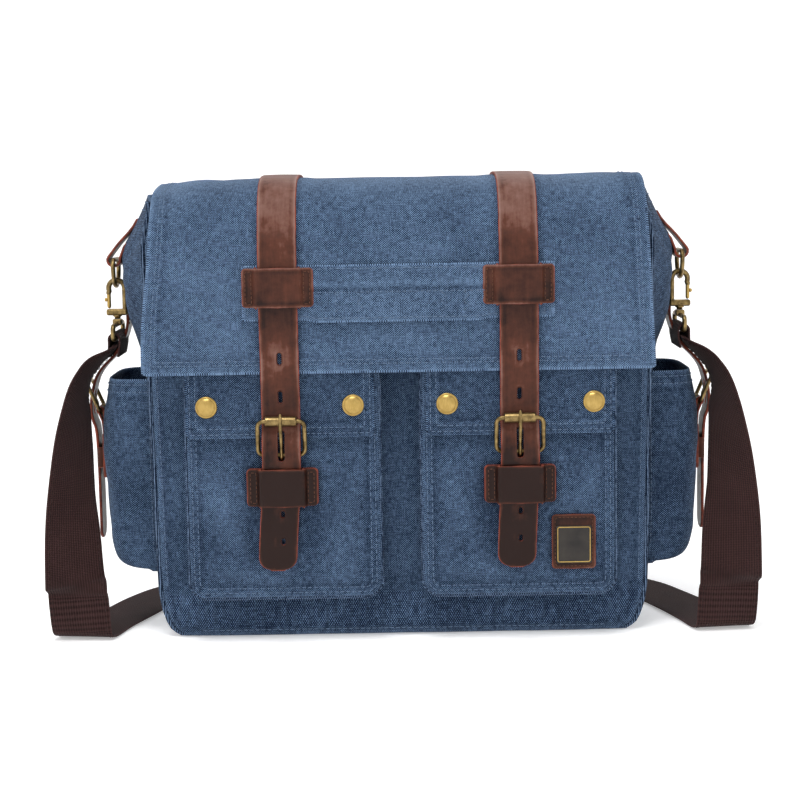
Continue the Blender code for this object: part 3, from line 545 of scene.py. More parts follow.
def mesh_piece(name, verts, faces, looks, uvs=None, wear_and_shade=None, looks_of_faces=None, smooth=True):
    mesh = bpy.data.meshes.new(name)
    mesh.from_pydata(raised(verts).tolist(), [], faces)
    for look in looks:
        mesh.materials.append(look)
    if looks_of_faces is not None:
        mesh.polygons.foreach_set("material_index", np.asarray(looks_of_faces, np.int32))
    if uvs is not None:
        layer = mesh.uv_layers.new(name="cloth")
        corners = np.empty(len(mesh.loops), np.int32)
        mesh.loops.foreach_get("vertex_index", corners)
        layer.data.foreach_set("uv", np.asarray(uvs, np.float32)[corners].ravel())
    # The wear attribute: rubbed wear, with painted light and painted shade mixed into it.
    if wear_and_shade is not None:
        attribute = mesh.attributes.new("wear_and_shade", "FLOAT", "POINT")
        attribute.data.foreach_set("value", np.asarray(wear_and_shade, np.float32).ravel())
    if smooth:
        mesh.shade_smooth()
    mesh.update()
    piece = bpy.data.objects.new(name, mesh)
    bpy.context.scene.collection.objects.link(piece)
    return piece


def rim_loop(rows, columns):
    """Indices round the border of a grid, in order."""
    top = [(0, c) for c in range(columns)]
    right = [(r, columns - 1) for r in range(1, rows)]
    bottom = [(rows - 1, c) for c in range(columns - 2, -1, -1)]
    left = [(r, 0) for r in range(rows - 2, 0, -1)]
    return arr(top + right + bottom + left).astype(int)


def slab(name, points, uvs, thickness, looks, wear_and_shade=None, flip=False, edge=None, square=1.0, steps=5):
    """A sheet with thickness. points is the grid of its outer face, and its border is rounded by edge."""
    rows, columns = points.shape[:2]
    normals = grid_normals(points) * (-1 if flip else 1)
    thick = np.broadcast_to(np.asarray(thickness, float), (rows, columns))[..., None]
    back = points - normals * thick
    loop = rim_loop(rows, columns)
    inward = np.stack([np.clip(loop[:, 0], 1, rows - 2), np.clip(loop[:, 1], 1, columns - 2)], axis=1)
    border = points[loop[:, 0], loop[:, 1]]
    out = border - points[inward[:, 0], inward[:, 1]]
    normal = normals[loop[:, 0], loop[:, 1]]
    out = unit(out - (out * normal).sum(axis=1)[:, None] * normal)
    half = thick[loop[:, 0], loop[:, 1]] / 2
    bulge = half if edge is None else edge
    rings = []
    for angle in np.linspace(0, math.pi, steps + 1)[1:-1]:
        rise = np.sign(math.cos(angle)) * abs(math.cos(angle)) ** square
        reach = math.sin(angle) ** square
        rings.append(border - normal * half * (1 - rise) + out * bulge * reach)
    count, size = rows * columns, len(loop)
    verts = np.concatenate([points.reshape(-1, 3), back.reshape(-1, 3)] + rings)
    flat = loop[:, 0] * columns + loop[:, 1]
    uv = np.asarray(uvs, float).reshape(-1, 2)
    uv_all = np.concatenate([uv, uv] + [uv[flat]] * len(rings))
    # The wear attribute, rubbed wear with painted light and painted shade, copied to the back and the rim.
    worn_and_shaded = np.zeros(count) if wear_and_shade is None else np.asarray(wear_and_shade, float).reshape(-1)
    worn_and_shaded_all = np.concatenate([worn_and_shaded, worn_and_shaded] + [worn_and_shaded[flat]] * len(rings))
    faces, kinds = [], []
    grid = np.arange(count).reshape(rows, columns)
    quads = np.stack([grid[:-1, :-1], grid[:-1, 1:], grid[1:, 1:], grid[1:, :-1]], axis=-1).reshape(-1, 4)
    faces += (quads[:, ::-1] if flip else quads).tolist()
    faces += ((quads if flip else quads[:, ::-1]) + count).tolist()
    kinds += [0] * (2 * len(quads))
    bands = [flat] + [2 * count + k * size + np.arange(size) for k in range(len(rings))] + [flat + count]
    for a, b in zip(bands, bands[1:]):
        quad = np.stack([a, b, np.roll(b, -1), np.roll(a, -1)], axis=1)
        faces += (quad[:, ::-1] if flip else quad).tolist()
        kinds += [len(looks) - 1] * size
    return mesh_piece(name, verts, faces, looks, uv_all, worn_and_shaded_all, kinds)


def frames_along(path, closed=False):
    """Directions along a path, and two across it that turn as little as they can."""
    path = arr(path)
    ahead = np.roll(path, -1, axis=0) - np.roll(path, 1, axis=0) if closed else np.gradient(path, axis=0)
    along = unit(ahead)
    first = np.cross(along[0], [0.31, 0.17, 0.93])
    across = [unit(first)]
    for direction in along[1:]:
        last = across[-1]
        across.append(unit(last - direction * (last @ direction)))
    across = arr(across)
    return along, across, np.cross(along, across)


def with_round_ends(path, radii):
    """The path and its radii, carried on past each end to close in a dome."""
    domes = arr([(0.05, 1.0), (0.42, 0.9), (0.80, 0.6)])
    first, last = unit(path[0] - path[1]), unit(path[-1] - path[-2])
    start = path[0] + domes[:, 1:] * radii[0] * first
    finish = path[-1] + domes[::-1, 1:] * radii[-1] * last
    radii = np.concatenate([domes[:, 0] * radii[0], radii, domes[::-1, 0] * radii[-1]])
    return np.concatenate([start, path, finish]), radii


def tube(path, radius, closed=False, sides=12):
    """(verts, faces) of a round wire."""
    path = arr(path)
    radii = np.broadcast_to(np.asarray(radius, float), len(path)).copy()
    if not closed:
        path, radii = with_round_ends(path, radii)
    _, across, up = frames_along(path, closed)
    angles = np.linspace(0, TAU, sides, endpoint=False)
    ring = np.cos(angles)[None, :, None] * across[:, None] + np.sin(angles)[None, :, None] * up[:, None]
    if closed:
        # The frames may come back turned, so the last rings are turned back to meet the first.
        turn = math.atan2(across[-1] @ up[0], across[-1] @ across[0])
        shift = turn * np.linspace(0, 1, len(path))
        bent = angles[None, :] - shift[:, None]
        ring = np.cos(bent)[..., None] * across[:, None] + np.sin(bent)[..., None] * up[:, None]
    verts = (path[:, None] + radii[:, None, None] * ring).reshape(-1, 3)
    grid = np.arange(len(verts)).reshape(len(path), sides)
    after = np.roll(grid, -1, axis=0) if closed else grid[1:]
    here = grid if closed else grid[:-1]
    faces = ring_quads(here, after)
    if not closed:
        faces += [grid[0, ::-1].tolist(), grid[-1].tolist()]
    return verts, faces


def ring_quads(here, after):
    """Four-sided faces between rows of rings and the rows after them."""
    corners = [here, np.roll(here, -1, axis=1), np.roll(after, -1, axis=1), after]
    return np.stack(corners, axis=-1).reshape(-1, 4).tolist()


def lathe(rings, centre, axis, sides=36):
    """(verts, faces) turned about an axis, from (radius, distance along the axis) rings."""
    axis = unit(arr(axis))
    first = unit(np.cross(axis, [0.0, 0.3, 1.0] if abs(axis[2]) < 0.9 else [1.0, 0.0, 0.0]))
    second = np.cross(axis, first)
    angles = np.linspace(0, TAU, sides, endpoint=False)
    circle = np.cos(angles)[:, None] * first + np.sin(angles)[:, None] * second
    verts = np.concatenate([arr(centre) + axis * height + circle * radius for radius, height in rings])
    grid = np.arange(len(verts)).reshape(len(rings), sides)
    return verts, ring_quads(grid[:-1], grid[1:]) + [grid[0, ::-1].tolist(), grid[-1].tolist()]


def block(low, high):
    """(verts, faces) of a cuboid, for a Bevel modifier to finish."""
    (x0, y0, z0), (x1, y1, z1) = np.minimum(low, high), np.maximum(low, high)
    verts = arr([(x, y, z) for z in (z0, z1) for x, y in ((x0, y0), (x1, y0), (x1, y1), (x0, y1))])
    return verts, [[3, 2, 1, 0], [4, 5, 6, 7], [0, 1, 5, 4], [1, 2, 6, 5], [2, 3, 7, 6], [3, 0, 4, 7]]


def joined(shapes):
    verts, faces = [], []
    for shape, polygons in shapes:
        start = sum(map(len, verts))
        verts.append(np.asarray(shape))
        faces += [[start + i for i in face] for face in polygons]
    return np.concatenate(verts), faces


def solid_piece(name, shapes, look, bevel=None, sharp=40):
    """Hard goods from several shapes, with their edges eased."""
    verts, faces = joined(shapes)
    piece = mesh_piece(name, verts, faces, [look])
    piece.data.set_sharp_from_angle(angle=math.radians(sharp))
    if bevel:
        eased = piece.modifiers.new("Eased", "BEVEL")
        eased.width, eased.segments, eased.limit_method = bevel, 3, "ANGLE"
        eased.angle_limit = math.radians(sharp)
        eased.harden_normals = True
    return piece


def put(piece, body, slot, *nodes):
    """Fastens a piece to its body, in place of its CAD nodes."""
    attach(piece, body)
    if nodes:
        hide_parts(*nodes)
    return piece


class Cloth:
    """A face given by a function of two lengths, with sewing along lines on it."""

    def __init__(self, surface, flip=False):
        self.surface = surface
        self.flip = flip

    def piece(self, name, a, b, thickness, looks, wear_and_shade=None, **rest):
        worn_and_shaded = None if wear_and_shade is None else wear_and_shade(a, b)
        uvs = np.stack([a, b], axis=-1)
        return slab(name, self.surface(a, b), uvs, thickness, looks, worn_and_shaded, self.flip, **rest)

    def normals(self, a, b):
        step = 0.6 * MM
        across = self.surface(a + step, b) - self.surface(a - step, b)
        down = self.surface(a, b + step) - self.surface(a, b - step)
        return unit(np.cross(across, down)) * (-1 if self.flip else 1)

    def sew(self, line, group, pitch=4.3 * MM, length=3.3 * MM, radius=0.36 * MM, lift=0.0):
        """Stitches along a line of (a, b) points."""
        line = arr(line)
        steps = run_along(line)
        fine = np.linspace(0, steps[-1], max(3, int(steps[-1] / (0.25 * pitch))))
        a, b = (np.interp(fine, steps, line[:, i]) for i in (0, 1))
        add_stitches(self.surface(a, b), self.normals(a, b), group, pitch, length, radius, lift)


# Stitches by group: where each starts and ends, which way is up, and its radius.
THREADS = {}


def add_stitches(points, normals, group, pitch=4.6 * MM, length=3.4 * MM, radius=0.33 * MM, lift=0.0):
    """Stitches along a line in space, each lying on the cloth under it."""
    run = run_along(points)
    count = int(run[-1] / pitch)
    if count < 1:
        return
    starts = (np.arange(count) + 0.5) * run[-1] / count

    def read(places, values):
        return arr([np.interp(places, run, values[:, i]) for i in range(3)]).T

    up = unit(read(starts, normals))
    ends = [read(starts + k * length / 2, points) + up * lift for k in (-1, 1)]
    THREADS.setdefault(group, []).append((ends[0], ends[1], up, radius))


def make_threads(group, look, body, slot):
    """All the stitches of one group, as one mesh."""
    profile = [(-1.0, 0.35, -0.5), (-0.62, 0.95, 0.5), (0.0, 1.0, 0.85), (0.62, 0.95, 0.5), (1.0, 0.35, -0.5)]
    sides = 6
    angles = np.linspace(0, TAU, sides, endpoint=False)
    verts = []
    for start, end, up, radius in THREADS.get(group, []):
        middle, half = (start + end) / 2, (end - start) / 2
        across = unit(np.cross(half, up))
        rings = []
        for along, size, rise in profile:
            centre = middle + half * along + up * radius * rise
            circle = np.cos(angles)[None, :, None] * across[:, None]
            circle = circle + np.sin(angles)[None, :, None] * up[:, None]
            rings.append(centre[:, None] + circle * radius * size)
        verts.append(np.stack(rings, axis=1).reshape(-1, 3))
    verts = np.concatenate(verts)
    count = len(verts) // (sides * len(profile))
    grid = np.arange(sides * len(profile)).reshape(len(profile), sides)
    corners = [grid[:-1], grid[1:], np.roll(grid[1:], -1, 1), np.roll(grid[:-1], -1, 1)]
    quads = np.stack(corners, axis=-1).reshape(-1, 4)
    shift = (np.arange(count) * sides * len(profile))[:, None, None]
    faces = (quads[None] + shift).reshape(-1, 4).tolist()
    for ends in (grid[0], grid[-1, ::-1]):
        faces += (ends[None] + shift[:, 0]).tolist()
    return put(mesh_piece(group, verts, faces, [look]), body, slot)


def border(a0, b0, a1, b1, radius=0.0, closed=True):
    """A rectangle's outline with rounded corners, as points."""
    r = max(radius, 0.1 * MM)
    centres = ((a1 - r, b1 - r), (a0 + r, b1 - r), (a0 + r, b0 + r), (a1 - r, b0 + r))
    points = np.concatenate([arc(centre, r, 90 * i, 90 * i + 90, 6) for i, centre in enumerate(centres)])
    return np.concatenate([points, points[:1]]) if closed else points


class Line:
    """A flat line, by the length along it."""

    def __init__(self, points, unit_length=MM):
        self.points = arr(points) * unit_length
        self.lengths = run_along(self.points)
        self.length = self.lengths[-1]
        self.along = unit(np.gradient(self.points, axis=0))

    def at(self, s):
        return np.stack([np.interp(s, self.lengths, self.points[:, i]) for i in (0, 1)], axis=-1)

    def left(self, s):
        """The direction to the left of the line."""
        along = unit(np.stack([np.interp(s, self.lengths, self.along[:, i]) for i in (0, 1)], axis=-1))
        return np.stack([-along[..., 1], along[..., 0]], axis=-1)

    def rows(self, step):
        return np.linspace(0, self.length, max(4, int(self.length / step)))


def spread(rows, half, columns, centre=0.0):
    """Grids (a, b) with b the same along each row, and a spread evenly across the width there."""
    b = np.repeat(arr(rows)[:, None], columns, axis=1)
    a = centre + np.linspace(-1, 1, columns)[None] * np.broadcast_to(half, len(rows))[:, None]
    return a, b


def rounded_half(b, half, low, radius, high=None):
    """Half the width at b of a shape whose corners at low, and at high if given, are rounded."""
    near = b - low if high is None else np.minimum(b - low, high - b)
    drop = np.clip(radius - near, 0, radius)
    return half - (radius - np.sqrt(np.maximum(radius**2 - drop**2, 0)))


def corner_rows(low, high, radius, step, both=False):
    """Heights that are close together where a corner is rounded."""
    curve = low + radius * (1 - np.cos(np.linspace(0, math.pi / 2, 9)))
    if both:
        middle = np.linspace(low + radius, high - radius, max(3, int((high - low - 2 * radius) / step)))
        return np.concatenate([curve[:-1], middle, (high + low - curve)[::-1][1:]])
    count = max(3, int((high - low - radius) / step))
    return np.concatenate([curve[:-1], np.linspace(low + radius, high, count)])


def patch_grid(low, high, half, radius, step, columns, centre=0.0):
    """Grids (a, b) over a rectangle with rounded corners."""
    rows = corner_rows(low, high, radius, step, both=True)
    return spread(rows, rounded_half(rows, half, low, radius, high), columns, centre)


def tongue(half, end, tip, power):
    """Half the width of a band by the length along it, round over its last stretch."""

    def half_of(s):
        q = np.clip((s - (end - tip)) / tip, 0, 0.97)
        return half * (1 - q**power) ** (1 / power)

    return half_of


def tongue_rows(end, tip, count, turns):
    curve = end - tip * (1 - np.sin(np.linspace(0, math.pi / 2, turns)))
    return np.concatenate([np.linspace(0, end - tip, count)[:-1], curve])


# --- Main compartment ---


def edge_x(z):
    return np.interp(z, [20 * MM, SHELL_HEIGHT], [180 * MM, 186 * MM])


def shell_half(z):
    return rounded_half(z, edge_x(z), 0, SHELL_CORNER)


def drawn_in(points):
    """The sides and the front lean in at the mouth, under the flap. The back doesn't."""
    x, y, z = np.moveaxis(arr(points), -1, 0)
    share = smoothstep(z, 276 * MM, 304 * MM) * smoothstep(50 * MM - y, 0, 16 * MM)
    lean = MOUTH_LEAN * share * smoothstep(np.abs(x), 60 * MM, 160 * MM)
    lift = MOUTH_LIFT * share * (1 - 0.45 * smoothstep(-y, 40 * MM, 58 * MM))
    return np.stack([x - np.sign(x) * lean, y, z + lift], axis=-1)


def front_surface(x, z):
    edge = np.minimum(shell_half(np.maximum(z, 0)) - np.abs(x), z)
    clear = 1 - smoothstep(z, 14 * MM, 22 * MM) * (1 - smoothstep(np.abs(x), 157 * MM, 160 * MM))
    from_side = shell_half(np.maximum(z, 0)) - np.abs(x)
    belly = 5.5 * bell(z, 9.5 * MM, 7.5 * MM) * smoothstep(from_side, 0, 30 * MM)
    forward = (belly + 0.6 * ripples(x, z, 3) + 0.5) * MM * clear
    return drawn_in(np.stack([x, -60 * MM + rounding(edge, 6 * MM) * 0.75 - forward, z], axis=-1))


def back_surface(x, z):
    edge = np.minimum(shell_half(np.maximum(z, 0)) - np.abs(x), z)
    crown = 0.9 * MM * smoothstep(edge, 4 * MM, 60 * MM) * (1 - smoothstep(z, 270 * MM, 296 * MM))
    y = 60 * MM - rounding(edge, 6 * MM) * 0.75 + crown + 0.35 * MM * ripples(x, z, 8)
    return np.stack([x, y, z], axis=-1)


def shell_wear_and_shade(x, z):
    edge = np.minimum(shell_half(np.maximum(z, 0)) - np.abs(x), z)
    # Pale rubbed wear at the edge. The darker band a little way in, along the side stitching, is partly the
    # wash's own pattern and partly painted shade.
    worn_and_shaded = 0.6 * bell(edge, 1.5 * MM, 2.5 * MM) - 0.45 * bell(edge, 7 * MM, 3 * MM)
    worn_and_shaded = worn_and_shaded + 0.25 * ripples(x, z, 5)
    # Painted shade: the strip below the pockets is painted darker, fading out above them.
    return worn_and_shaded - 0.4 + 0.4 * smoothstep(z, 22 * MM, 44 * MM)


def make_shell_panels():
    rows = corner_rows(0, SHELL_HEIGHT, SHELL_CORNER, 4 * MM)
    a, b = spread(rows, shell_half(rows), 130)
    front = Cloth(front_surface)
    piece = front.piece("shell_front", a, b, 2.6 * MM, [CANVAS], shell_wear_and_shade)
    put(piece, "bag", "canvas", "front_panel")
    back = Cloth(back_surface, flip=True)
    piece = back.piece("shell_back", a, b, 2.6 * MM, [CANVAS], shell_wear_and_shade)
    put(piece, "bag", "canvas", "back_panel")
    for z in (278 * MM, 284 * MM):
        back.sew([(-176 * MM, z), (176 * MM, z)], "bag_thread")
    for cloth in (front, back):
        for x in (-1, 1):
            low = [(x * (shell_half(z) - 5 * MM), z) for z in np.linspace(26 * MM, 298 * MM, 20)]
            cloth.sew(low, "bag_thread")
        cloth.sew([(-150 * MM, 6 * MM), (150 * MM, 6 * MM)], "bag_thread")


def shell_line():
    """The gusset's line from the mouth down the side and round the lower corner."""
    side = [(edge_x(z), z) for z in np.linspace(SHELL_HEIGHT, SHELL_CORNER, 40)]
    corner = arc((180 * MM - SHELL_CORNER, SHELL_CORNER), SHELL_CORNER, 0, -90, 14)
    return Line(np.concatenate([side[:-1], corner]), 1)


def gusset_face(side):
    """The outer face of one side's gusset, by y and the length down from the mouth."""
    line = shell_line()

    def surface(y, s):
        point, out = line.at(s), line.left(s)
        z = point[..., 1]
        swell = np.interp(z, BULGE_Z, BULGE) * np.cos(math.pi * y / (2 * 56.5 * MM))
        pulled = 5.5 * bell(y, -30 * MM, 15 * MM) + 4 * bell(y, 26 * MM, 15 * MM)
        swell = swell + pulled * MM * bell(z, 250 * MM, 24 * MM)
        swell = swell + 3.5 * MM * bell(y, HANG_Y, 15 * MM) * bell(z, 271 * MM, 11 * MM)
        free = (1 - bell(y, -4 * MM, 14 * MM) * bell(z, 290 * MM, 22 * MM)) * smoothstep(z, 60 * MM, 190 * MM)
        free = free * (1 - bell(y, BELT_Y, 15 * MM) * bell(z, 222 * MM, 16 * MM))
        folds = creases(y, z, [(-40, 252, 30, 226, 7, -2), (-52, 210, -10, 196, 6, -2.2)])
        folds = folds + creases(y, z, [(10, 285, 50, 262, 7, -2)])
        folds = folds + creases(y, z, [(-50, 290, -24, 268, 5, -1.8), (20, 205, 52, 216, 6, -1.8)])
        lift = swell + free * (folds + 0.9 * MM * (ripples(y, z, 11 + side) - 0.6))
        lift = lift * smoothstep(56 * MM - np.abs(y), 0, 3 * MM)
        place = point + out * lift[..., None]
        return drawn_in(np.stack([side * place[..., 0], y, place[..., 1]], axis=-1))

    return surface


def make_gusset(label, side):
    line, surface = shell_line(), gusset_face(side)

    def wear_and_shade(y, s):
        worn_and_shaded = hem(s)[1]
        # Pale hems from wear. Painted shade: darker along the seams with the front and back panels, and the
        # whole gusset a little darker (-0.35).
        return worn_and_shaded + 0.3 * ripples(y, s, 21) - 0.3 * bell(55 * MM - np.abs(y), 0, 4 * MM) - 0.35

    cloth = Cloth(surface, flip=side > 0)
    a, b = spread(line.rows(3.2 * MM), SEAM_Y, 42)
    piece = cloth.piece(f"shell_gusset_{label}", a, b, 2.2 * MM, [CANVAS], wear_and_shade)
    put(piece, "bag", "canvas", f"gusset_{label}")
    for s in (4 * MM, 8 * MM):
        cloth.sew([(-52 * MM, s), (52 * MM, s)], "bag_thread")


def make_base():
    half = 180 * MM - SHELL_CORNER

    def surface(x, y):
        return np.stack([x, y, 0.25 * MM + 0.25 * MM * ripples(x, y, 31)], axis=-1)

    a, b = spread(np.linspace(-SEAM_Y, SEAM_Y, 40), half, 90)
    cloth = Cloth(surface, flip=True)
    put(cloth.piece("shell_base", a, b, 2.2 * MM, [CANVAS]), "bag", "canvas", "base_panel")
    for x in (-half + 4 * MM, half - 4 * MM):
        cloth.sew([(x, -50 * MM), (x, 50 * MM)], "bag_thread")


def make_welts():
    """Covered piping in the seams between the panels and the gusset."""
    line = shell_line()
    s = line.rows(4 * MM)
    half = line.at(s) + line.left(s) * 0.9 * MM
    half[:, 1] = np.maximum(half[:, 1], 1.9 * MM)
    for name, y in (("front", -1), ("back", 1)):
        path = [(x, y * 56.2 * MM, z) for x, z in half]
        reach = half[-1, 0] - 5 * MM
        path += [(x, y * 56.2 * MM, 1.9 * MM) for x in np.linspace(reach, -reach, 60)]
        path += [(-x, y * 56.2 * MM, z) for x, z in half[::-1]]
        verts, faces = tube(drawn_in(path), 1.75 * MM, sides=10)
        put(mesh_piece(f"shell_welt_{name}", verts, faces, [CANVAS_PLAIN]), "bag", "canvas")


def make_lining():
    top, low = 302 * MM, 6.5 * MM
    rows = corner_rows(low, top, 20 * MM, 6 * MM)
    angles = np.linspace(0, TAU, 200)
    round_x = np.sign(np.cos(angles)) * np.abs(np.cos(angles)) ** 0.16
    round_y = np.sign(np.sin(angles)) * np.abs(np.sin(angles)) ** 0.16
    half = np.minimum(171.5 * MM, shell_half(rows) - 5 * MM)
    x, z = half[:, None] * round_x[None], np.repeat(rows[:, None], 200, axis=1)
    wave = 0.9 * MM * (1 + ripples(x + 0.7 * z, z, 41, (90, 50, 25)))
    y = np.repeat(round_y[None], len(rows), axis=0)
    points = np.stack([x * (1 - wave / (150 * MM)), y * (55.6 * MM - wave), z], axis=-1)
    points = drawn_in(points)
    uvs = np.stack([np.repeat(run_along(points[0])[None], len(rows), axis=0), z], axis=-1)
    sleeve = slab("lining_sleeve", points, uvs, 0.8 * MM, [LINING])
    put(sleeve, "bag", "lining", "lining")
    a, b = spread(np.linspace(-54 * MM, 54 * MM, 24), 164 * MM, 60)
    floor = Cloth(lambda x, y: np.stack([x, y, 7 * MM + 0.5 * MM * ripples(x, y, 43)], axis=-1))
    put(floor.piece("lining_floor", a, b, 0.8 * MM, [LINING]), "bag", "lining")


def make_divider():
    """The padded wall of the laptop sleeve: a quilt, thin at its bound edges."""
    low, high = 9 * MM, 229 * MM
    a, b = patch_grid(low, high, 159 * MM, 14 * MM, 5 * MM, 90)
    reach = rounded_half(b, 159 * MM, low, 14 * MM, high)
    edge = np.minimum(reach - np.abs(a), np.minimum(b - low, high - b))
    quilt = np.minimum(np.abs((a / (53 * MM)) % 1 - 0.5), np.abs(((b - low) / (55 * MM)) % 1 - 0.5))
    full = smoothstep(edge, 0, 16 * MM) * (0.45 + 0.55 * smoothstep(quilt, 0, 0.16))
    thick = (2.0 + 4.6 * full) * MM
    points = np.stack([a, 36.5 * MM - thick / 2, b], axis=-1)
    piece = slab("laptop_pad", points, np.stack([a, b], axis=-1), thick, [LINING], 0 * a)
    put(piece, "bag", "lining", "laptop_divider")


# --- Pockets ---

def make_front_pocket(label, side):
    centre, half = side * sum(POCKET_X) / 2, (POCKET_X[1] - POCKET_X[0]) / 2
    low, high = POCKET_Z

    def edge_of(x, z):
        reach = rounded_half(np.maximum(z, low), half, low, POCKET_CORNER)
        return np.minimum(reach - np.abs(x - centre), z - low)

    folds = {
        "left": [(-150, 120, -118, 62, 9, 1.8), (-30, 118, -48, 52, 9, 1.6), (-136, 46, -84, 36, 7, 1.5),
                 (-112, 88, -104, 40, 7, -1.3), (-62, 84, -70, 36, 6, -1.1), (-60, 34, -30, 42, 6, 1.3)],
        "right": [(28, 122, 52, 60, 9, 1.8), (148, 124, 126, 88, 8, 1.5), (34, 46, 84, 34, 7, 1.6),
                  (62, 90, 70, 40, 7, -1.3), (100, 36, 146, 32, 5, 0.9), (46, 70, 40, 40, 6, -0.9)],
    }[label]

    def surface(x, z):
        edge = edge_of(x, z)
        open_low = 1 - smoothstep(z, 116 * MM, 137 * MM)
        puff = 4.6 * MM * smoothstep(edge, 5 * MM, 30 * MM) * open_low
        wrinkle = 0.9 * MM * ripples(x, z, 51 + side) + creases(x, z, folds)
        wrinkle = wrinkle * smoothstep(edge, 4 * MM, 12 * MM)
        puff = puff + wrinkle * open_low
        # The cloth is held flat under the magnet, beside it under the chape, and under the label.
        socket = np.hypot(x - side * STRAP_X, z - MAGNET_Z)
        puff = puff * (1 - bell(socket, 0, 17 * MM) * 0.97)
        wing = smoothstep(30 * MM - np.abs(x - side * STRAP_X), 0, 6 * MM)
        wing = wing * smoothstep(15 * MM - np.abs(z - 105 * MM), -4 * MM, 4 * MM)
        puff = puff * (1 - 0.45 * wing)
        if side > 0:
            badge = smoothstep(24 * MM - np.abs(x - LABEL_X), 0, 9 * MM)
            badge = badge * smoothstep(29 * MM - np.abs(z - LABEL_MIDDLE_Z), 0, 10 * MM)
            puff = puff * (1 - 0.97 * badge)
        seam = 0.9 * MM * bell(edge, 1.6 * MM, 1.3 * MM) - 0.5 * MM * bell(edge, 3.9 * MM, 1.0 * MM)
        seam = seam - 0.5 * MM * bell(edge, 7.4 * MM, 1.1 * MM) + 0.3 * MM * bell(edge, 5.6 * MM, 0.9 * MM)
        seam = seam * (1 - smoothstep(z, 134 * MM, 142 * MM) * 0.8)
        rim = hem(high - z, 12 * MM)[0] * 0.2
        y = POCKET_FACE + 0.35 * MM + rounding(edge, 4.5 * MM) - np.maximum(puff, -2 * MM) - seam - rim
        return np.stack([x, y, z], axis=-1)

    def wear_and_shade(x, z):
        edge = edge_of(x, z)
        # Pale rubbed edge. Darker along the stitch rows and the step inside them: partly the wash's own
        # pattern, partly painted shade.
        worn_and_shaded = 0.6 * bell(edge, 1.5 * MM, 1.6 * MM) - 0.3 * bell(edge, 4 * MM, 0.9 * MM)
        worn_and_shaded = worn_and_shaded + 0.2 * bell(edge, 5.7 * MM, 0.8 * MM) - 0.45 * bell(edge, 9.5 * MM, 2.2 * MM)
        # Fold ridges paler and fold hollows darker: wash wear on the ridges, painted shade in the hollows.
        worn_and_shaded = worn_and_shaded + 0.25 * creases(x, z, folds) / MM + 0.2 * ripples(x, z, 55)
        # Painted shade: the -0.35 paints the whole pocket darker than the flap.
        return worn_and_shaded + hem(high - z, 12 * MM)[1] * 0.5 - 0.35

    rows = corner_rows(low, high, POCKET_CORNER, 2.4 * MM)
    a, b = spread(rows, rounded_half(rows, half, low, POCKET_CORNER), 74, centre)
    face = Cloth(surface)
    piece = face.piece(f"front_pocket_{label}_face", a, b, 1.9 * MM, [CANVAS], wear_and_shade)
    put(piece, "bag", "canvas", f"front_pocket_{label}")
    for inset in POCKET_ROWS:
        outline = pocket_line(low + inset, high - 2 * MM, half - inset, POCKET_CORNER - inset, centre)
        face.sew(outline, "bag_thread", lift=0.1 * MM)
    for inset in (4 * MM, 9 * MM):
        reach, top = half - 9 * MM, high - inset
        face.sew([(centre - reach, top), (centre + reach, top)], "bag_thread")
    make_pocket_wall(label, side, centre, half)


def pocket_line(low, high, half, radius, centre):
    """A pocket's outline from its top left, round the bottom, to its top right."""
    left = arc((centre - half + radius, low + radius), radius, 180, 270, 8)
    right = arc((centre + half - radius, low + radius), radius, 270, 360, 8)
    return np.concatenate([[(centre - half, high)], left, right, [(centre + half, high)]])


def make_pocket_wall(label, side, centre, half):
    """The pocket's gusset, between the bag's front and the pocket's face."""
    points = pocket_line(POCKET_Z[0], POCKET_Z[1], half, POCKET_CORNER, centre)
    left, low, right = (np.linspace(points[i], points[i + 1], n) for i, n in ((0, 50), (9, 40), (18, 50)))
    dense = np.concatenate([left[:-1], points[1:10], low[1:-1], points[10:19], right[1:]])
    line = Line(dense, 1)

    def surface(y, s):
        point, out = line.at(s), -line.left(s)
        depth = (y + 60.4 * MM) / (-18.8 * MM)
        swell = (1.4 * MM + 0.8 * MM * ripples(s, y, 61 + side)) * np.sin(math.pi * np.clip(depth, 0, 1))
        place = point + out * (swell - 0.7 * MM)[..., None]
        return np.stack([place[..., 0], y, place[..., 1]], axis=-1)

    def wear_and_shade(y, s):
        # Painted shade: the pocket's gusset is painted darker, like the pocket.
        return -0.35 + 0.2 * ripples(s, y, 63)

    a, b = spread(line.rows(3 * MM), 9.4 * MM, 9, -69.8 * MM)
    wall = Cloth(surface).piece(f"front_pocket_{label}_wall", a, b, 1.6 * MM, [CANVAS], wear_and_shade)
    put(wall, "bag", "canvas")
    path = np.stack([dense[:, 0], np.full(len(dense), -79.6 * MM), dense[:, 1]], axis=-1)
    verts, faces = tube(path, 1.25 * MM, sides=8)
    put(mesh_piece(f"front_pocket_{label}_welt", verts, faces, [CANVAS_PLAIN]), "bag", "canvas")


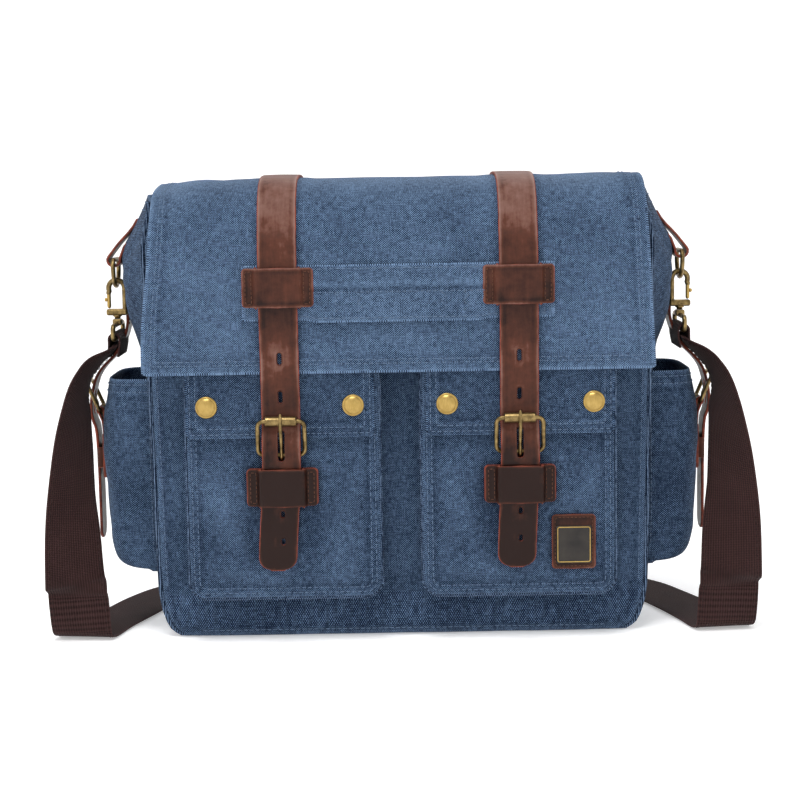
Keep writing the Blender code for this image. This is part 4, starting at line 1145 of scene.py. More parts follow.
def make_side_pocket(label, side):
    angles = np.linspace(-math.pi / 2, math.pi / 2, 160)
    section = [np.abs(np.cos(angles)) ** 0.42, np.sign(np.sin(angles)) * np.abs(np.sin(angles)) ** 0.42]
    round_line = Line(np.stack(section, axis=1) * [38 * MM, SIDE_HALF], 1)
    profile = [(36.5, 180), (39.5, 166), (41.8, 142), (41.8, 108), (40, 74)]
    profile += [(37.5, 50), (32, 40), (20, 37.5), (0, 38)]
    side_line = Line(softened(profile))
    crease_rows = [(-74, 150, -50, 120, 7, -1.8), (-60, 90, -40, 60, 7, 1.6)]
    crease_rows += [(40, 150, 66, 118, 7, -1.6), (-30, 160, -34, 120, 6, 1.2)]

    def surface(a, s):
        point = side_line.at(s)
        flat = round_line.at(a + round_line.length / 2) / [38 * MM, SIDE_HALF]
        out, z = point[..., 0], point[..., 1]
        span = SIDE_HALF - 2.5 * MM * smoothstep(-s, -side_line.length, 44 * MM - side_line.length)
        folds = creases(a, z, crease_rows)
        free = 1 - bell(a, BELT_Y, 20 * MM)
        lift = (folds + 0.9 * MM * ripples(a, s, 71 + side)) * free * smoothstep(s, 0, 14 * MM)
        x = SIDE_ROOT - 2.5 * MM + out * flat[..., 0] + lift * flat[..., 0] - 1.2 * MM
        y = (span + lift * (1 - flat[..., 0])) * flat[..., 1]
        return np.stack([side * x, y, z], axis=-1)

    def wear_and_shade(a, s):
        corner = bell(np.abs(a), 42 * MM, 3 * MM)
        # Pale hem and rounded corners from wear. Painted shade: the whole pocket darker, and the right pocket
        # darker than the left, for light from the left.
        return hem(s, 12 * MM)[1] + 0.35 * corner + 0.25 * ripples(a, s, 73) - 0.5 - 0.2 * side

    rows = side_line.rows(2.6 * MM)
    a, b = spread(rows, round_line.length / 2, 84)
    cloth = Cloth(surface, flip=side > 0)
    piece = cloth.piece(f"side_pocket_{label}_cloth", a, b, 1.8 * MM, [CANVAS], wear_and_shade)
    put(piece, "bag", "canvas", f"side_pocket_{label}")
    reach = round_line.length / 2 - 4 * MM
    for s in (3.5 * MM, 9 * MM):
        cloth.sew([(-reach, s), (reach, s)], "bag_thread")
    for a0 in (-reach, reach):
        cloth.sew([(a0, 6 * MM), (a0, 130 * MM)], "bag_thread")


def make_lid(label, side):
    line = Line(softened(LID_MM))
    centre, half = side * 87 * MM, 68 * MM
    end = line.length

    def surface(x, s):
        point, out = line.at(s), -line.left(s)
        edge = np.minimum(half - np.abs(x - centre), end - s)
        lift = 1.3 * MM + hem(edge, 9.5 * MM, (2.8 * MM, 7 * MM))[0] * 0.7 - 0.25 * MM
        front = smoothstep(s, 20 * MM, 34 * MM)
        for snap in (34 * MM, 140 * MM):
            far = np.hypot(x - side * snap, point[..., 1] - 164 * MM)
            turn = np.arctan2(point[..., 1] - 164 * MM, x - side * snap)
            lift = lift - 0.3 * MM * bell(far, 9 * MM, 4 * MM) * (1 + 0.8 * np.sin(7 * turn + snap / MM))
        mid = bell(x, side * STRAP_X, 26 * MM)
        lift = lift + front * (1 - mid) * 0.35 * MM * ripples(x, s, 81 + side)
        place = point + out * np.minimum(lift, 1.75 * MM)[..., None]
        return np.stack([x, place[..., 0], place[..., 1]], axis=-1)

    def wear_and_shade(x, s):
        edge = np.minimum(half - np.abs(x - centre), end - s)
        # Pale hems from wear. Painted shade: the -0.4 paints the lid darker than the flap.
        return hem(edge, 9.5 * MM, (2.8 * MM, 7 * MM))[1] * 0.8 + 0.2 * ripples(x, s, 83) - 0.4

    rows = end - corner_rows(0, end, 4 * MM, 2.2 * MM)
    a, b = spread(rows, rounded_half(end - rows, half - 0.8 * MM, 0, 4 * MM), 74, centre)
    cloth = Cloth(surface)
    piece = cloth.piece(f"pocket_lid_{label}", a, b, 2.3 * MM, [CANVAS], wear_and_shade)
    put(piece, f"lid_{label}", "canvas", f"pocket_flap_{label}")
    cloth.flip = True
    for inset in LID_ROWS:
        x0, x1, low = centre - half + inset, centre + half - inset, end - inset
        cloth.sew([(x0, 24 * MM), (x0, low), (x1, low), (x1, 24 * MM)], f"lid_thread_{label}")
    for number, snap in enumerate(SNAP_X, 1):
        make_snap(f"{label}_{number}", side * snap, f"lid_{label}")


def make_snap(label, x, body):
    """A domed snap cap with a rolled rim, sunk a little into the cloth."""
    rings = [(7.5, -0.2), (7.9, 0.25), (7.9, 0.7), (7.55, 1.15), (7, 1.25)]
    rings += [(6.75, 0.9), (6.6, 0.8), (6.3, 1.15)]
    rings += [(5.4, 1.8), (4.2, 2.3), (2.8, 2.68), (1.4, 2.86), (0.2, 2.9)]
    shape = lathe([(r * MM, h * MM) for r, h in rings], (x, SNAP_SEAT_Y, SNAP_Z), (0, -1, 0), 48)
    put(mesh_piece(f"snap_{label}", *shape, [GOLD]), body, "gold", f"snap_cap_{label}")


# --- Main flap, carry handle, leather straps and keepers ---


def flap_line():
    return Line(softened([(62.8, 284), (62.8, 297), (61.6, 305)] + FLAP_MM[1:]))


def strap_mask(x, reach=17 * MM):
    """1 under either strap, falling to 0 beside it."""
    return 1 - smoothstep(np.abs(np.abs(x) - STRAP_X), reach, reach + 9 * MM)


def make_flap():
    line = flap_line()
    end = line.length
    top_half, low_half = 176.5 * MM, 183.6 * MM
    folds = [(-178, 96, -130, 128, 8, 1.5), (-150, 60, -120, 118, 9, -1.3), (120, 116, 172, 92, 8, 1.4),
             (-40, 150, -10, 196, 9, 0.8), (20, 240, 40, 200, 8, 0.8), (134, 190, 168, 160, 8, 0.8),
             (-176, 200, -140, 236, 8, 0.9), (-16, 60, 24, 100, 12, -1.2)]

    def half_of(s):
        """Half the width: narrow over the top, and wider down to the hem."""
        return top_half + (low_half - top_half) * smoothstep(s, 175 * MM, end)

    def surface(x, s):
        point, out = line.at(s), line.left(s) * -1
        edge = np.minimum(half_of(s) - np.abs(x), end - s)
        on_front = smoothstep(s, 190 * MM, 214 * MM)
        on_top = smoothstep(s, 20 * MM, 50 * MM) * (1 - smoothstep(s, 168 * MM, 205 * MM))
        clear = 1 - strap_mask(x)
        handle = smoothstep(s, 216 * MM, 224 * MM) * (1 - smoothstep(s, 266 * MM, 276 * MM))
        handle = handle * (np.abs(x) < 116 * MM)
        lift = hem(edge, 10 * MM, (5.5 * MM, 8.3 * MM))[0]
        soft = (0.65 * MM * ripples(x, s, 91, (110, 60, 32)) + creases(x, s, folds)) * clear * (1 - handle)
        soft = np.where(on_front > 0, np.maximum(soft, -0.35 * MM), soft)
        lift = lift + soft * (0.55 + 0.45 * on_front)
        place = point + out * (FLAP_THICK / 2 + lift - 0.1 * MM)[..., None]
        corner = smoothstep(np.abs(x), 132 * MM, 178 * MM)
        left = x < 0
        # The left corner sags. The right one stands up, square.
        sag = on_top * (np.where(left, 6.5, 1.2) * MM * corner**1.5 + 0.8 * MM * clear * (1 - corner))
        drop = on_top * bell(s, 150 * MM, 60 * MM)
        stand = 4.5 * MM * bell(s, 156 * MM, 24 * MM) * corner * on_top * (x > 0)
        z = place[..., 1] - sag * (0.35 + 0.65 * drop) + stand
        y = place[..., 0] + 1.5 * MM * corner * on_top * left
        sway = 0.9 * MM * np.sin(s * 40) * smoothstep(np.abs(x), 100 * MM, 180 * MM)
        return np.stack([x + sway, y, z], axis=-1)

    def wear_and_shade(x, s):
        edge = np.minimum(half_of(s) - np.abs(x), end - s)
        worn_and_shaded = hem(edge, 10 * MM, FLAP_ROWS)[1]
        # Painted light: the top of the flap, facing up, is painted paler.
        worn_and_shaded = worn_and_shaded + 0.55 * (1 - smoothstep(s, 128 * MM, 172 * MM))
        # A little darker along the bend down onto the front. Painted light: the +0.45 paints the whole flap
        # lighter than the body.
        worn_and_shaded = worn_and_shaded - 0.25 * bell(s, 192 * MM, 22 * MM) + 0.45
        # Fold ridges paler and fold hollows darker: wash wear on the ridges, painted shade in the hollows.
        worn_and_shaded = worn_and_shaded + 0.25 * creases(x, s, folds) / MM
        # Painted shadow: a dark band along each side of each strap.
        worn_and_shaded = worn_and_shaded - 0.5 * bell(np.abs(np.abs(x) - STRAP_X), 15 * MM, 2.5 * MM)
        return worn_and_shaded + 0.25 * ripples(x, s, 93)

    rows = end - corner_rows(0, end, 3 * MM, 2.4 * MM)
    a, b = spread(rows, half_of(rows), 168)
    cloth = Cloth(surface)
    piece = cloth.piece("flap_cloth", a, b, 3.1 * MM, [CANVAS], wear_and_shade)
    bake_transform(piece)
    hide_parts("flap_panel")
    cloth.flip = True
    for inset in FLAP_ROWS:
        for x in (-1, 1):
            sides = [(x * (half_of(s) - inset), s) for s in np.linspace(46 * MM, end - inset, 30)]
            cloth.sew(sides, "flap_thread")
        cloth.sew([(-(low_half - inset), end - inset), (low_half - inset, end - inset)], "flap_thread")


def make_handle():
    """The canvas carry handle: sewn down at its ends and beside the straps, loose and puffed between them."""
    low, high, half = 226 * MM, 266 * MM, 111 * MM

    def surface(x, z):
        t = (z - low) / (high - low)
        loose = (1 - strap_mask(x, 19 * MM)) * (1 - smoothstep(np.abs(x), 92 * MM, 104 * MM))
        puff = 2.6 * MM * np.sin(math.pi * np.clip(t, 0, 1)) ** 0.7 - 1.5 * MM * bell(t, 0.56, 0.06)
        puff = puff + 1.5 * MM * (1 - smoothstep(t, 0, 0.2)) + 0.6 * MM * ripples(x, z, 101)
        edge = np.minimum(np.minimum(t, 1 - t) * (high - low), half - np.abs(x))
        sewn = -0.25 * MM * bell(edge, 3.2 * MM, 0.9 * MM)
        droop = 1.6 * MM * loose * (1 - smoothstep(t, 0, 0.5))
        return np.stack([x, -93.25 * MM - puff * loose - sewn, z - droop], axis=-1)

    def wear_and_shade(x, z):
        t = (z - low) / (high - low)
        edge = np.minimum(np.minimum(t, 1 - t) * (high - low), half - np.abs(x))
        # Pale rubbed edges. Painted light on the ridge above the fold, and painted shade in the fold's
        # groove.
        worn_and_shaded = 0.8 * bell(edge, 0.6 * MM, 1.2 * MM) + 0.55 * bell(t, 0.64, 0.05) - 0.7 * bell(t, 0.55, 0.035)
        # Painted light: the +0.45 paints the handle lighter, as on the flap.
        return worn_and_shaded + 0.25 * ripples(x, z, 103) + 0.45

    rows = np.linspace(low + 1 * MM, high - 1 * MM, 26)
    a, b = spread(rows, half, 130)
    cloth = Cloth(surface)
    piece = cloth.piece("carry_handle_cloth", a, b, 1.9 * MM, [CANVAS], wear_and_shade)
    put(piece, "flap", "canvas", "carry_handle")
    for z in (low + 3.2 * MM, high - 3.2 * MM, low + 20 * MM):
        cloth.sew([(-106 * MM, z), (106 * MM, z)], "flap_thread", lift=0.15 * MM)
    for x in (-108, -104.5, 104.5, 108):
        cloth.sew([(x * MM, low + 3 * MM), (x * MM, high - 3 * MM)], "flap_thread", lift=0.15 * MM)
    for x in (-46, 46, -30, 30):
        zigzag = [((x + 5 * (i % 2)) * MM, low + (7 + 3.2 * i) * MM) for i in range(5)]
        cloth.sew(zigzag, "flap_thread", 3.4 * MM, 2.8 * MM, lift=0.15 * MM)


def strap_line():
    flap = Line(softened(FLAP_MM))
    s = np.linspace(0, flap.length, 200)
    over = flap.at(s) - flap.left(s) * 2.6 * MM
    over = over[(over[:, 0] < 48 * MM) & (over[:, 1] > 292 * MM)] / MM
    front = [(-95.0, 279), (-95.0, 214), (-92.8, 204), (-92.8, 184), (-89.7, 166), (-89.7, 150)]
    front += [(-96.2, 137), (-96.2, 125), (-92.8, 112), (-92.8, 45)]
    return Line(np.concatenate([over[:-1], softened([over[-1]] + front)]))


def slot_cutter(name, places, surface_y, depth, axis):
    """Round-ended slots, as one hidden helper. places are (across, height, length, width) in millimetres."""
    shapes = []
    for across, z, tall, wide in places:
        r = wide / 2
        top = arc((across, z + tall / 2 - r), r, 0, 180, 8)
        low = arc((across, z - tall / 2 + r), r, 180, 360, 8)
        outline = np.concatenate([top, low]) * MM
        count = len(outline)
        verts = [axis(u, v, w) for w in (surface_y - depth, surface_y + depth) for u, v in outline]
        faces = [list(range(count))[::-1], [count + i for i in range(count)]]
        faces += [[i, (i + 1) % count, count + (i + 1) % count, count + i] for i in range(count)]
        shapes.append((arr(verts), faces))
    verts, faces = joined(shapes)
    cutter = mesh_piece(name, verts, faces, [RAW_EDGE], smooth=False)
    shape = bmesh.new()
    shape.from_mesh(cutter.data)
    bmesh.ops.recalc_face_normals(shape, faces=shape.faces)
    shape.to_mesh(cutter.data)
    shape.free()
    cutter.hide_render = True
    return cutter


def cut(piece, cutter):
    """Cuts the helper away for good, and removes it."""
    boolean = piece.modifiers.new("Slots", "BOOLEAN")
    boolean.operation, boolean.solver, boolean.object = "DIFFERENCE", "EXACT", cutter
    graph = bpy.context.evaluated_depsgraph_get()
    done = bpy.data.meshes.new_from_object(piece.evaluated_get(graph))
    piece.modifiers.clear()
    piece.data = done
    bpy.data.objects.remove(cutter, do_unlink=True)


def leather_wear(a, half, edge_low, seed, b):
    rim = np.minimum(half - np.abs(a), edge_low)
    return 0.8 * bell(rim, 0, 1.4 * MM) - 0.25 * bell(rim, 3 * MM, 1.5 * MM) + 0.25 * ripples(a, b, seed)


def make_flap_strap(label, side):
    line = strap_line()
    end, centre = line.length, side * STRAP_X
    tip = 11 * MM
    swing = {"left": 4.5 * MM, "right": 3 * MM}[label]
    half_of = tongue(STRAP_HALF - 0.7 * MM, end, tip, 2.6)

    def surface(w, s):
        point, out = line.at(s), -line.left(s)
        lean = -swing * smoothstep(point[..., 1], 130 * MM, 40 * MM)
        crown = 0.25 * MM * (1 - (w / STRAP_HALF) ** 2) + 0.12 * MM * ripples(w, s, 111 + side, (60, 30, 14))
        place = point + out * (STRAP_THICK / 2 + crown - 0.15 * MM)[..., None]
        return np.stack([centre + w + lean, place[..., 0], place[..., 1]], axis=-1)

    def wear_and_shade(w, s):
        z = line.at(s)[..., 1]
        # Painted light: paler going up over the top of the flap.
        worn_and_shaded = leather_wear(w, half_of(s), end - s, 113 + side, s) + 0.95 * smoothstep(z, 248 * MM, 318 * MM)
        # Painted shade: darker low down, below the buckle.
        worn_and_shaded = worn_and_shaded - 0.75 * smoothstep(z, 130 * MM, 95 * MM)
        # Painted light: the left strap is painted lighter here than the right, for light from the left.
        worn_and_shaded = worn_and_shaded + (0.1 - 0.1 * side) * bell(z, 210 * MM, 25 * MM)
        worn_and_shaded = worn_and_shaded + 0.35 * bell(z, 145 * MM, 9 * MM) + 0.25 * bell(z, 186 * MM, 22 * MM)
        for height, tall, _ in STRAP_SLOTS:
            around = np.hypot(w / 1.3, np.maximum(np.abs(z - height * MM) - tall / 2 * MM, 0))
            worn_and_shaded = worn_and_shaded + 0.3 * bell(around, 2 * MM, 1.2 * MM)
        return worn_and_shaded

    rows = tongue_rows(end, tip, 190, 12)
    a, b = spread(rows, half_of(rows), 16)
    cloth = Cloth(surface, flip=True)
    thick = STRAP_THICK - 0.2 * MM
    strap = cloth.piece(f"strap_{label}", a, b, thick, HIDE, wear_and_shade, edge=0.7 * MM, square=0.55)
    places = [(centre / MM, z, tall, wide) for z, tall, wide in STRAP_SLOTS]
    cutter = slot_cutter(f"slots_{label}", places, -93 * MM, 9 * MM, lambda u, v, w: (u, w, v))
    cut(strap, cutter)
    put(strap, "flap", "leather", f"flap_strap_{label}")
    for x in (-9, 9):
        cloth.sew([(x * MM, 3 * MM), (x * MM, 24 * MM)], "strap_thread")
    cloth.sew([(-9 * MM, 24 * MM), (9 * MM, 24 * MM)], "strap_thread")


def make_keeper(name, label, side, wing_y, low, high):
    """A leather keeper: stitched wings, and a bridge over the strap."""
    top = -97.6
    right = [(25.2, wing_y), (19.0, wing_y), (17.2, wing_y - 0.3), (16.4, (wing_y + top) / 2)]
    right += [(15.7, top + 0.5), (14.6, top), (11, top), (5, top - 0.15)]
    line = Line(softened([(-x, y) for x, y in right] + right[::-1], 2))
    half = line.length / 2
    centre_x = side * STRAP_X

    def surface(a, z):
        point = line.at(a + half)
        out = -line.left(a + half)
        lift = 0.9 * MM + 0.15 * MM * ripples(a, z, 121 + side)
        place = point + out * lift[..., None]
        return np.stack([centre_x + place[..., 0], place[..., 1], z], axis=-1)

    def wear_and_shade(a, z):
        rim = np.minimum(half - np.abs(a), np.minimum(z - low, high - z))
        worn_and_shaded = 0.9 * bell(rim, 0, 1.3 * MM) - 0.3 * bell(rim, 3 * MM, 1 * MM)
        # Painted shade: the lower keeper is painted darker than the upper one.
        worn_and_shaded = worn_and_shaded - (0.65 if name == "lower_keeper" else 0.0)
        return worn_and_shaded + 0.35 * bell(np.abs(a), 16.5 * MM, 2.2 * MM) + 0.3 * ripples(a, z, 123 + side) - 0.1

    low, high = low * MM, high * MM
    a, b = patch_grid(low, high, half, 3 * MM, 2 * MM, 60)
    cloth = Cloth(surface)
    piece = cloth.piece(f"{name}_{label}_leather", a, b, 1.6 * MM, HIDE, wear_and_shade, edge=0.4 * MM, square=0.6)
    put(piece, "flap", "leather", f"{name}_{label}")
    for s in (-1, 1):
        out, near = s * (half - 2.2 * MM), s * (half - 6.6 * MM)
        bottom, top = low + 2.4 * MM, high - 2.4 * MM
        box = [(near, bottom), (out, bottom), (out, top), (near, top), (near, bottom)]
        cloth.sew(box, "strap_thread", *FINE_STITCH, lift=0.05 * MM)


# --- Buckles ---


def buckle_place(side, where):
    """place(across, outwards, height) in millimetres, on the front or on a side."""
    if where == "front":
        return lambda u, out, z: (side * 86 * MM + u * MM, (-84 - out) * MM, z * MM)
    return lambda u, out, z: (side * (226 + out) * MM, (12 + u) * MM, z * MM)


def frame_shape(place, bar, top, half, radius):
    """A rounded rectangle of wire, from the hinge bar up to the top bar."""
    rise = arr(top) - arr(bar)
    height = np.linalg.norm(rise)
    flat = walked(border(-half, 0, half, height, 4.5, closed=False), 1.2)
    path = [place(u, *(arr(bar) + rise * v / height)) for u, v in flat]
    return tube(path, radius, closed=True, sides=14)


def prong_shape(place, bar, eye, radius, tail):
    turn = arc(bar, eye, 100, 360, 22)
    flat = np.concatenate([turn, softened([turn[-1]] + tail, 3)[1:]])
    path = [place(0, *point) for point in flat]
    radii = np.full(len(path), radius * MM)
    radii[-6:] *= np.linspace(1, 0.82, 6)
    return tube(path, radii, sides=12)


def fold_piece(name, place, points, half_low, half_high, thick, body, node, columns=6):
    """A doubled leather band in one width, from its line of (outwards, height) points."""
    line = Line(points)
    middle, half = (half_low + half_high) / 2, (half_high - half_low) / 2
    u_of = arr(place(1, 0, 0)) - arr(place(0, 0, 0))
    out_of = arr(place(0, 1, 0)) - arr(place(0, 0, 0))
    base = arr(place(0, 0, 0))

    def surface(w, s):
        point, out = line.at(s), line.left(s)
        flat = (point + out * thick / 2 * MM) / MM
        height = np.stack([0 * w, 0 * w, flat[..., 1] * MM], axis=-1)
        return base + (w[..., None] * u_of + flat[..., :1] * out_of) + height

    def wear_and_shade(w, s):
        return 0.5 + 0.3 * ripples(w * MM, s, 131)

    a, b = spread(line.rows(1.0 * MM), half, columns, middle)
    flip = float(np.cross(u_of, out_of)[2]) > 0
    cloth = Cloth(surface, flip=not flip)
    piece = cloth.piece(name, a, b, thick * MM, HIDE, wear_and_shade, edge=0.25 * MM, square=0.6)
    put(piece, body, "leather", node)


def make_front_buckle(label, side):
    place = buckle_place(side, "front")
    bar, top = FRONT_BARS
    wire = frame_shape(place, bar, top, 16.9, 1.6 * MM)
    put(mesh_piece(f"buckle_{label}", *wire, [BRASS]), "flap", "brass", f"buckle_frame_{label}")
    collar = [(1.9, 11.3), (3.1, 11.4), (3.5, 11.0), (3.6, 10.4), (3.52, 9.8), (3.6, 9.2)]
    rings = [(r * MM, -h * MM) for r, h in collar] + [(r * MM, h * MM) for r, h in collar[::-1]]
    roller = mesh_piece(f"roller_{label}_tube", *lathe(rings, place(0, *top), (1, 0, 0), 32), [BRASS])
    put(roller, f"roller_{label}", "brass", f"roller_{label}")
    prong = prong_shape(place, bar, 3.3, 1.25, [(10.3, 137), (15.9, 146), (16.3, 153), (15.9, 159)])
    put(mesh_piece(f"prong_{label}_pin", *prong, [BRASS]), f"prong_{label}", "brass", f"prong_{label}")
    turn = arc(bar, 2.65, 180, -78, 22)
    under, over = [(4.35, 106), (4.35, 114), (4.35, 121)], [(6.25, 122), (6.25, 114), (6.25, 106)]
    points = np.concatenate([under, turn, over])
    for number, span in enumerate(((-12.2, -3.2), (3.2, 12.2)), 1):
        fold_piece(f"chape_{label}_fold_{number}", place, points, *span, 1.6, "flap", f"buckle_chape_{label}")

    def surface(x, z):
        return np.stack([x, -91.05 * MM + 0.12 * MM * ripples(x, z, 133), z], axis=-1)

    low, high = LOWER_KEEPER
    a, b = patch_grid(low * MM, high * MM, 25.4 * MM, 3 * MM, 2.5 * MM, 30, side * STRAP_X)
    plate = Cloth(surface).piece(f"chape_{label}_plate", a, b, 3.3 * MM, HIDE, edge=0.6 * MM, square=0.5)
    put(plate, "flap", "leather")


# --- Side belts ---


def make_side_belt(label, side):
    place = buckle_place(side, "side")
    points = [(-21, 226), (-21, 216), (-14, 197), (3.4, 181), (7.6, 168)]
    points += [(9.4, 158), (9.4, 147), (4.7, 136), (4.7, 52)]
    line = Line(softened(points, 3))
    end, tip = line.length, 9 * MM
    half_of = tongue(10.4 * MM, end, tip, 2.4)

    def surface(w, s):
        """The belt's outer face: its line moved away from the pocket."""
        away = line.left(s)
        away = np.where(away[..., :1] < 0, -away, away)
        lift = 1.1 * MM + 0.15 * MM * (1 - (w / (11 * MM)) ** 2) + 0.1 * MM * ripples(w, s, 141)
        flat = line.at(s) + away * lift[..., None]
        return np.stack([side * (226 * MM + flat[..., 0]), BELT_Y + w, flat[..., 1]], axis=-1)

    def wear_and_shade(w, s):
        return leather_wear(w, half_of(s), end - s, 143 + side, s) + 0.4 * bell(s, 50 * MM, 12 * MM)

    rows = tongue_rows(end, tip, 110, 10)
    a, b = spread(rows, half_of(rows), 14)
    cloth = Cloth(surface, flip=side < 0)
    piece = cloth.piece(f"side_belt_{label}_leather", a, b, 2.1 * MM, HIDE, wear_and_shade, edge=0.5 * MM, square=0.55)
    slot = [(12, 158, 20, 4.4)]
    cutter = slot_cutter(f"belt_slot_{label}", slot, side * 232 * MM, 12 * MM, lambda u, v, w: (w, u, v))
    cut(piece, cutter)
    put(piece, "bag", "leather", f"side_belt_{label}")
    for w in (-7.5, 7.5):
        cloth.sew([(w * MM, 2.5 * MM), (w * MM, 9 * MM)], "tab_thread", 3 * MM, 2.2 * MM, 0.3 * MM)
    make_side_keeper(label, side, place)
    bar, top = SIDE_BARS
    wire = frame_shape(place, bar, top, 13.6, 1.5 * MM)
    put(mesh_piece(f"side_buckle_{label}", *wire, [BRASS]), "bag", "brass", f"side_buckle_frame_{label}")
    prong = prong_shape(place, bar, 3.1, 1.0, [(7.8, 158), (14.0, 167), (17.6, 174), (18.2, 178)])
    pin = mesh_piece(f"side_prong_{label}_pin", *prong, [BRASS])
    put(pin, f"side_prong_{label}", "brass", f"side_buckle_prong_{label}")


def make_side_keeper(label, side, place):
    """The tab that holds the buckle, and the loop round the belt's end."""
    half, low, high = 13.9 * MM, 100 * MM, 134 * MM

    def tab(y, z):
        return np.stack([side * (229.2 * MM + 0.1 * MM * ripples(y, z, 151)), y, z], axis=-1)

    def wear_and_shade(y, z):
        return leather_wear(y - BELT_Y, half, np.minimum(z - low, high - z), 153, z)

    a, b = patch_grid(low, high, half, 3 * MM, 2.5 * MM, 20, BELT_Y)
    cloth = Cloth(tab, flip=side < 0)
    piece = cloth.piece(f"side_tab_{label}", a, b, 2.7 * MM, HIDE, wear_and_shade, edge=0.5 * MM, square=0.5)
    put(piece, "bag", "leather", f"side_keeper_{label}")
    inset = 2.4 * MM
    box = border(BELT_Y - half + inset, low + inset, BELT_Y + half - inset, high - inset, 2 * MM)
    cloth.sew(box, "tab_thread", *FINE_STITCH)
    turn = arc(SIDE_BARS[0], 2.45, 180, -60, 20)
    under, over = [(1.1, 120), (1.1, 134), (1.7, 146)], [(3.4, 144), (2.6, 136), (2.4, 120)]
    points = np.concatenate([under, turn, over])
    for number, span in enumerate(((-9.8, -2.8), (2.8, 9.8)), 1):
        fold_piece(f"side_fold_{label}_{number}", place, points, *span, 1.4, "bag", f"side_keeper_{label}", 5)
    bridge = [(-13.2, 3.0), (-13.2, 6.4), (-12.0, 7.3), (-6, 7.4)]
    line = Line(softened(bridge + [(-x, y) for x, y in bridge[::-1]]))

    def loop(s, z):
        point, out = line.at(s), line.left(s)
        flat = point + out * 0.8 * MM
        return np.stack([side * (226 * MM + flat[..., 1]), BELT_Y + flat[..., 0], z], axis=-1)

    a, b = np.meshgrid(np.linspace(0, line.length, 44), np.linspace(108.6 * MM, 123.4 * MM, 10))
    cloth = Cloth(loop, flip=side < 0)

    def loop_wear(s, z):
        return 0.3 + 0 * s

    band = cloth.piece(f"side_loop_{label}", a, b, 1.5 * MM, HIDE, loop_wear, edge=0.4 * MM, square=0.6)
    put(band, "bag", "leather")


# --- Rings, hooks and the chapes that hold them ---


def on_wall(side, z, off):
    """A point off the gusset's face by a distance, sunk in it towards the mouth, in millimetres."""
    x, _, high = gusset_face(side)(arr([HANG_Y]), arr([SHELL_HEIGHT - z * MM]))[0] / MM
    return abs(x) + off - 5.2 * smoothstep(z, 276, 290), high


def make_hanger(label, side):
    """The leather chape, D ring, swivel snap hook and webbing eye on one side."""
    x0, y0 = side * HANG_X, HANG_Y
    heights = (291, 288, 285, 282, 279)
    inner = [on_wall(side, z, 1.0) for z in heights]
    turn = arc((214, 268), 3.1, 158, 376, 24)
    outer = [on_wall(side, z, 2.8) for z in heights[::-1]]
    line = Line(np.concatenate([inner, turn, outer]))

    def surface(w, s):
        flat = line.at(s) - line.left(s) * 0.85 * MM
        return np.stack([side * flat[..., 0], y0 + w, flat[..., 1]], axis=-1)

    def wear_and_shade(w, s):
        return leather_wear(w, 10 * MM, s, 161, s) + 0.4

    a, b = spread(line.rows(1.2 * MM), 10.2 * MM, 10)
    cloth = Cloth(surface, flip=side > 0)
    fold = cloth.piece(f"ring_fold_{label}", a, b, 1.7 * MM, HIDE, wear_and_shade, edge=0.4 * MM, square=0.6)
    put(fold, "bag", "leather", f"ring_chape_{label}")
    bar = [(u, 268.0) for u in np.linspace(-11.5, 11.5, 12)]
    bow = [(14.5, 265.0), *arc((0, 262.5), 14.5, 0, -180, 26), (-14.5, 265.0)]
    path = [(x0, y0 + u * MM, z * MM) for u, z in softened(bar + bow + [bar[0]], 2)[:-1]]
    ring = mesh_piece(f"ring_{label}", *tube(path, 1.7 * MM, True, 14), [BRASS])
    put(ring, "bag", "brass", f"d_ring_{label}")
    hook = arc((0, 246.3), 6.0, -38, 180, 26)
    hook = np.concatenate([[(6.1, 242.9)], hook[2:], [(-6.0, 240), (-6.0, 235), (-6.0, 229.5)]])
    bend = tube([(x0 + side * u * MM, y0, z * MM) for u, z in hook], 2.0 * MM, sides=14)
    body = block((x0 - 8 * MM, y0 - 3.4 * MM, 225.6 * MM), (x0 + 8 * MM, y0 + 3.4 * MM, 230.5 * MM))
    rings = [(2.3, 0), (2.3, 1.2), (3.3, 1.6), (3.4, 2.2), (2.9, 3.2)]
    collar = lathe([(r * MM, h * MM) for r, h in rings], (x0, y0, 223.2 * MM), (0, 0, 1), 24)
    put(solid_piece(f"hook_{label}", [body], BRASS, 1.5 * MM), "bag", "brass", f"hook_body_{label}")
    put(mesh_piece(f"hook_bend_{label}", *joined([bend, collar]), [BRASS]), "bag", "brass")
    gate = tube([(x0 + side * 6 * MM, y0, z * MM) for z in np.linspace(232.4, 241.6, 8)], 1.5 * MM, sides=12)
    rings = [(0.9 * MM, -0.3 * MM), (1.3 * MM, 0.4 * MM), (1.5 * MM, 1.2 * MM), (1.1 * MM, 2.0 * MM)]
    knob = lathe(rings, (x0 + side * 7.2 * MM, y0, 237.5 * MM), (side, 0, 0), 18)
    gate = mesh_piece(f"gate_{label}", *joined([gate, knob]), [GOLD])
    put(gate, f"gate_{label}", "gold", f"hook_gate_{label}")
    outline = walked(border(-25.5, 209, 25.5, 219, 3.6, closed=False), 1.3)
    eye = tube([(x0, y0 + u * MM, z * MM) for u, z in outline], 1.8 * MM, True, 14)
    put(mesh_piece(f"eye_{label}", *eye, [BRASS]), "bag", "brass", f"hook_eye_{label}")
    boss = block((x0 - 3.4 * MM, y0 - 4.4 * MM, 218.2 * MM), (x0 + 3.4 * MM, y0 + 4.4 * MM, 222.9 * MM))
    put(solid_piece(f"eye_boss_{label}", [boss], BRASS, 1.2 * MM), "bag", "brass")


# --- Shoulder strap ---


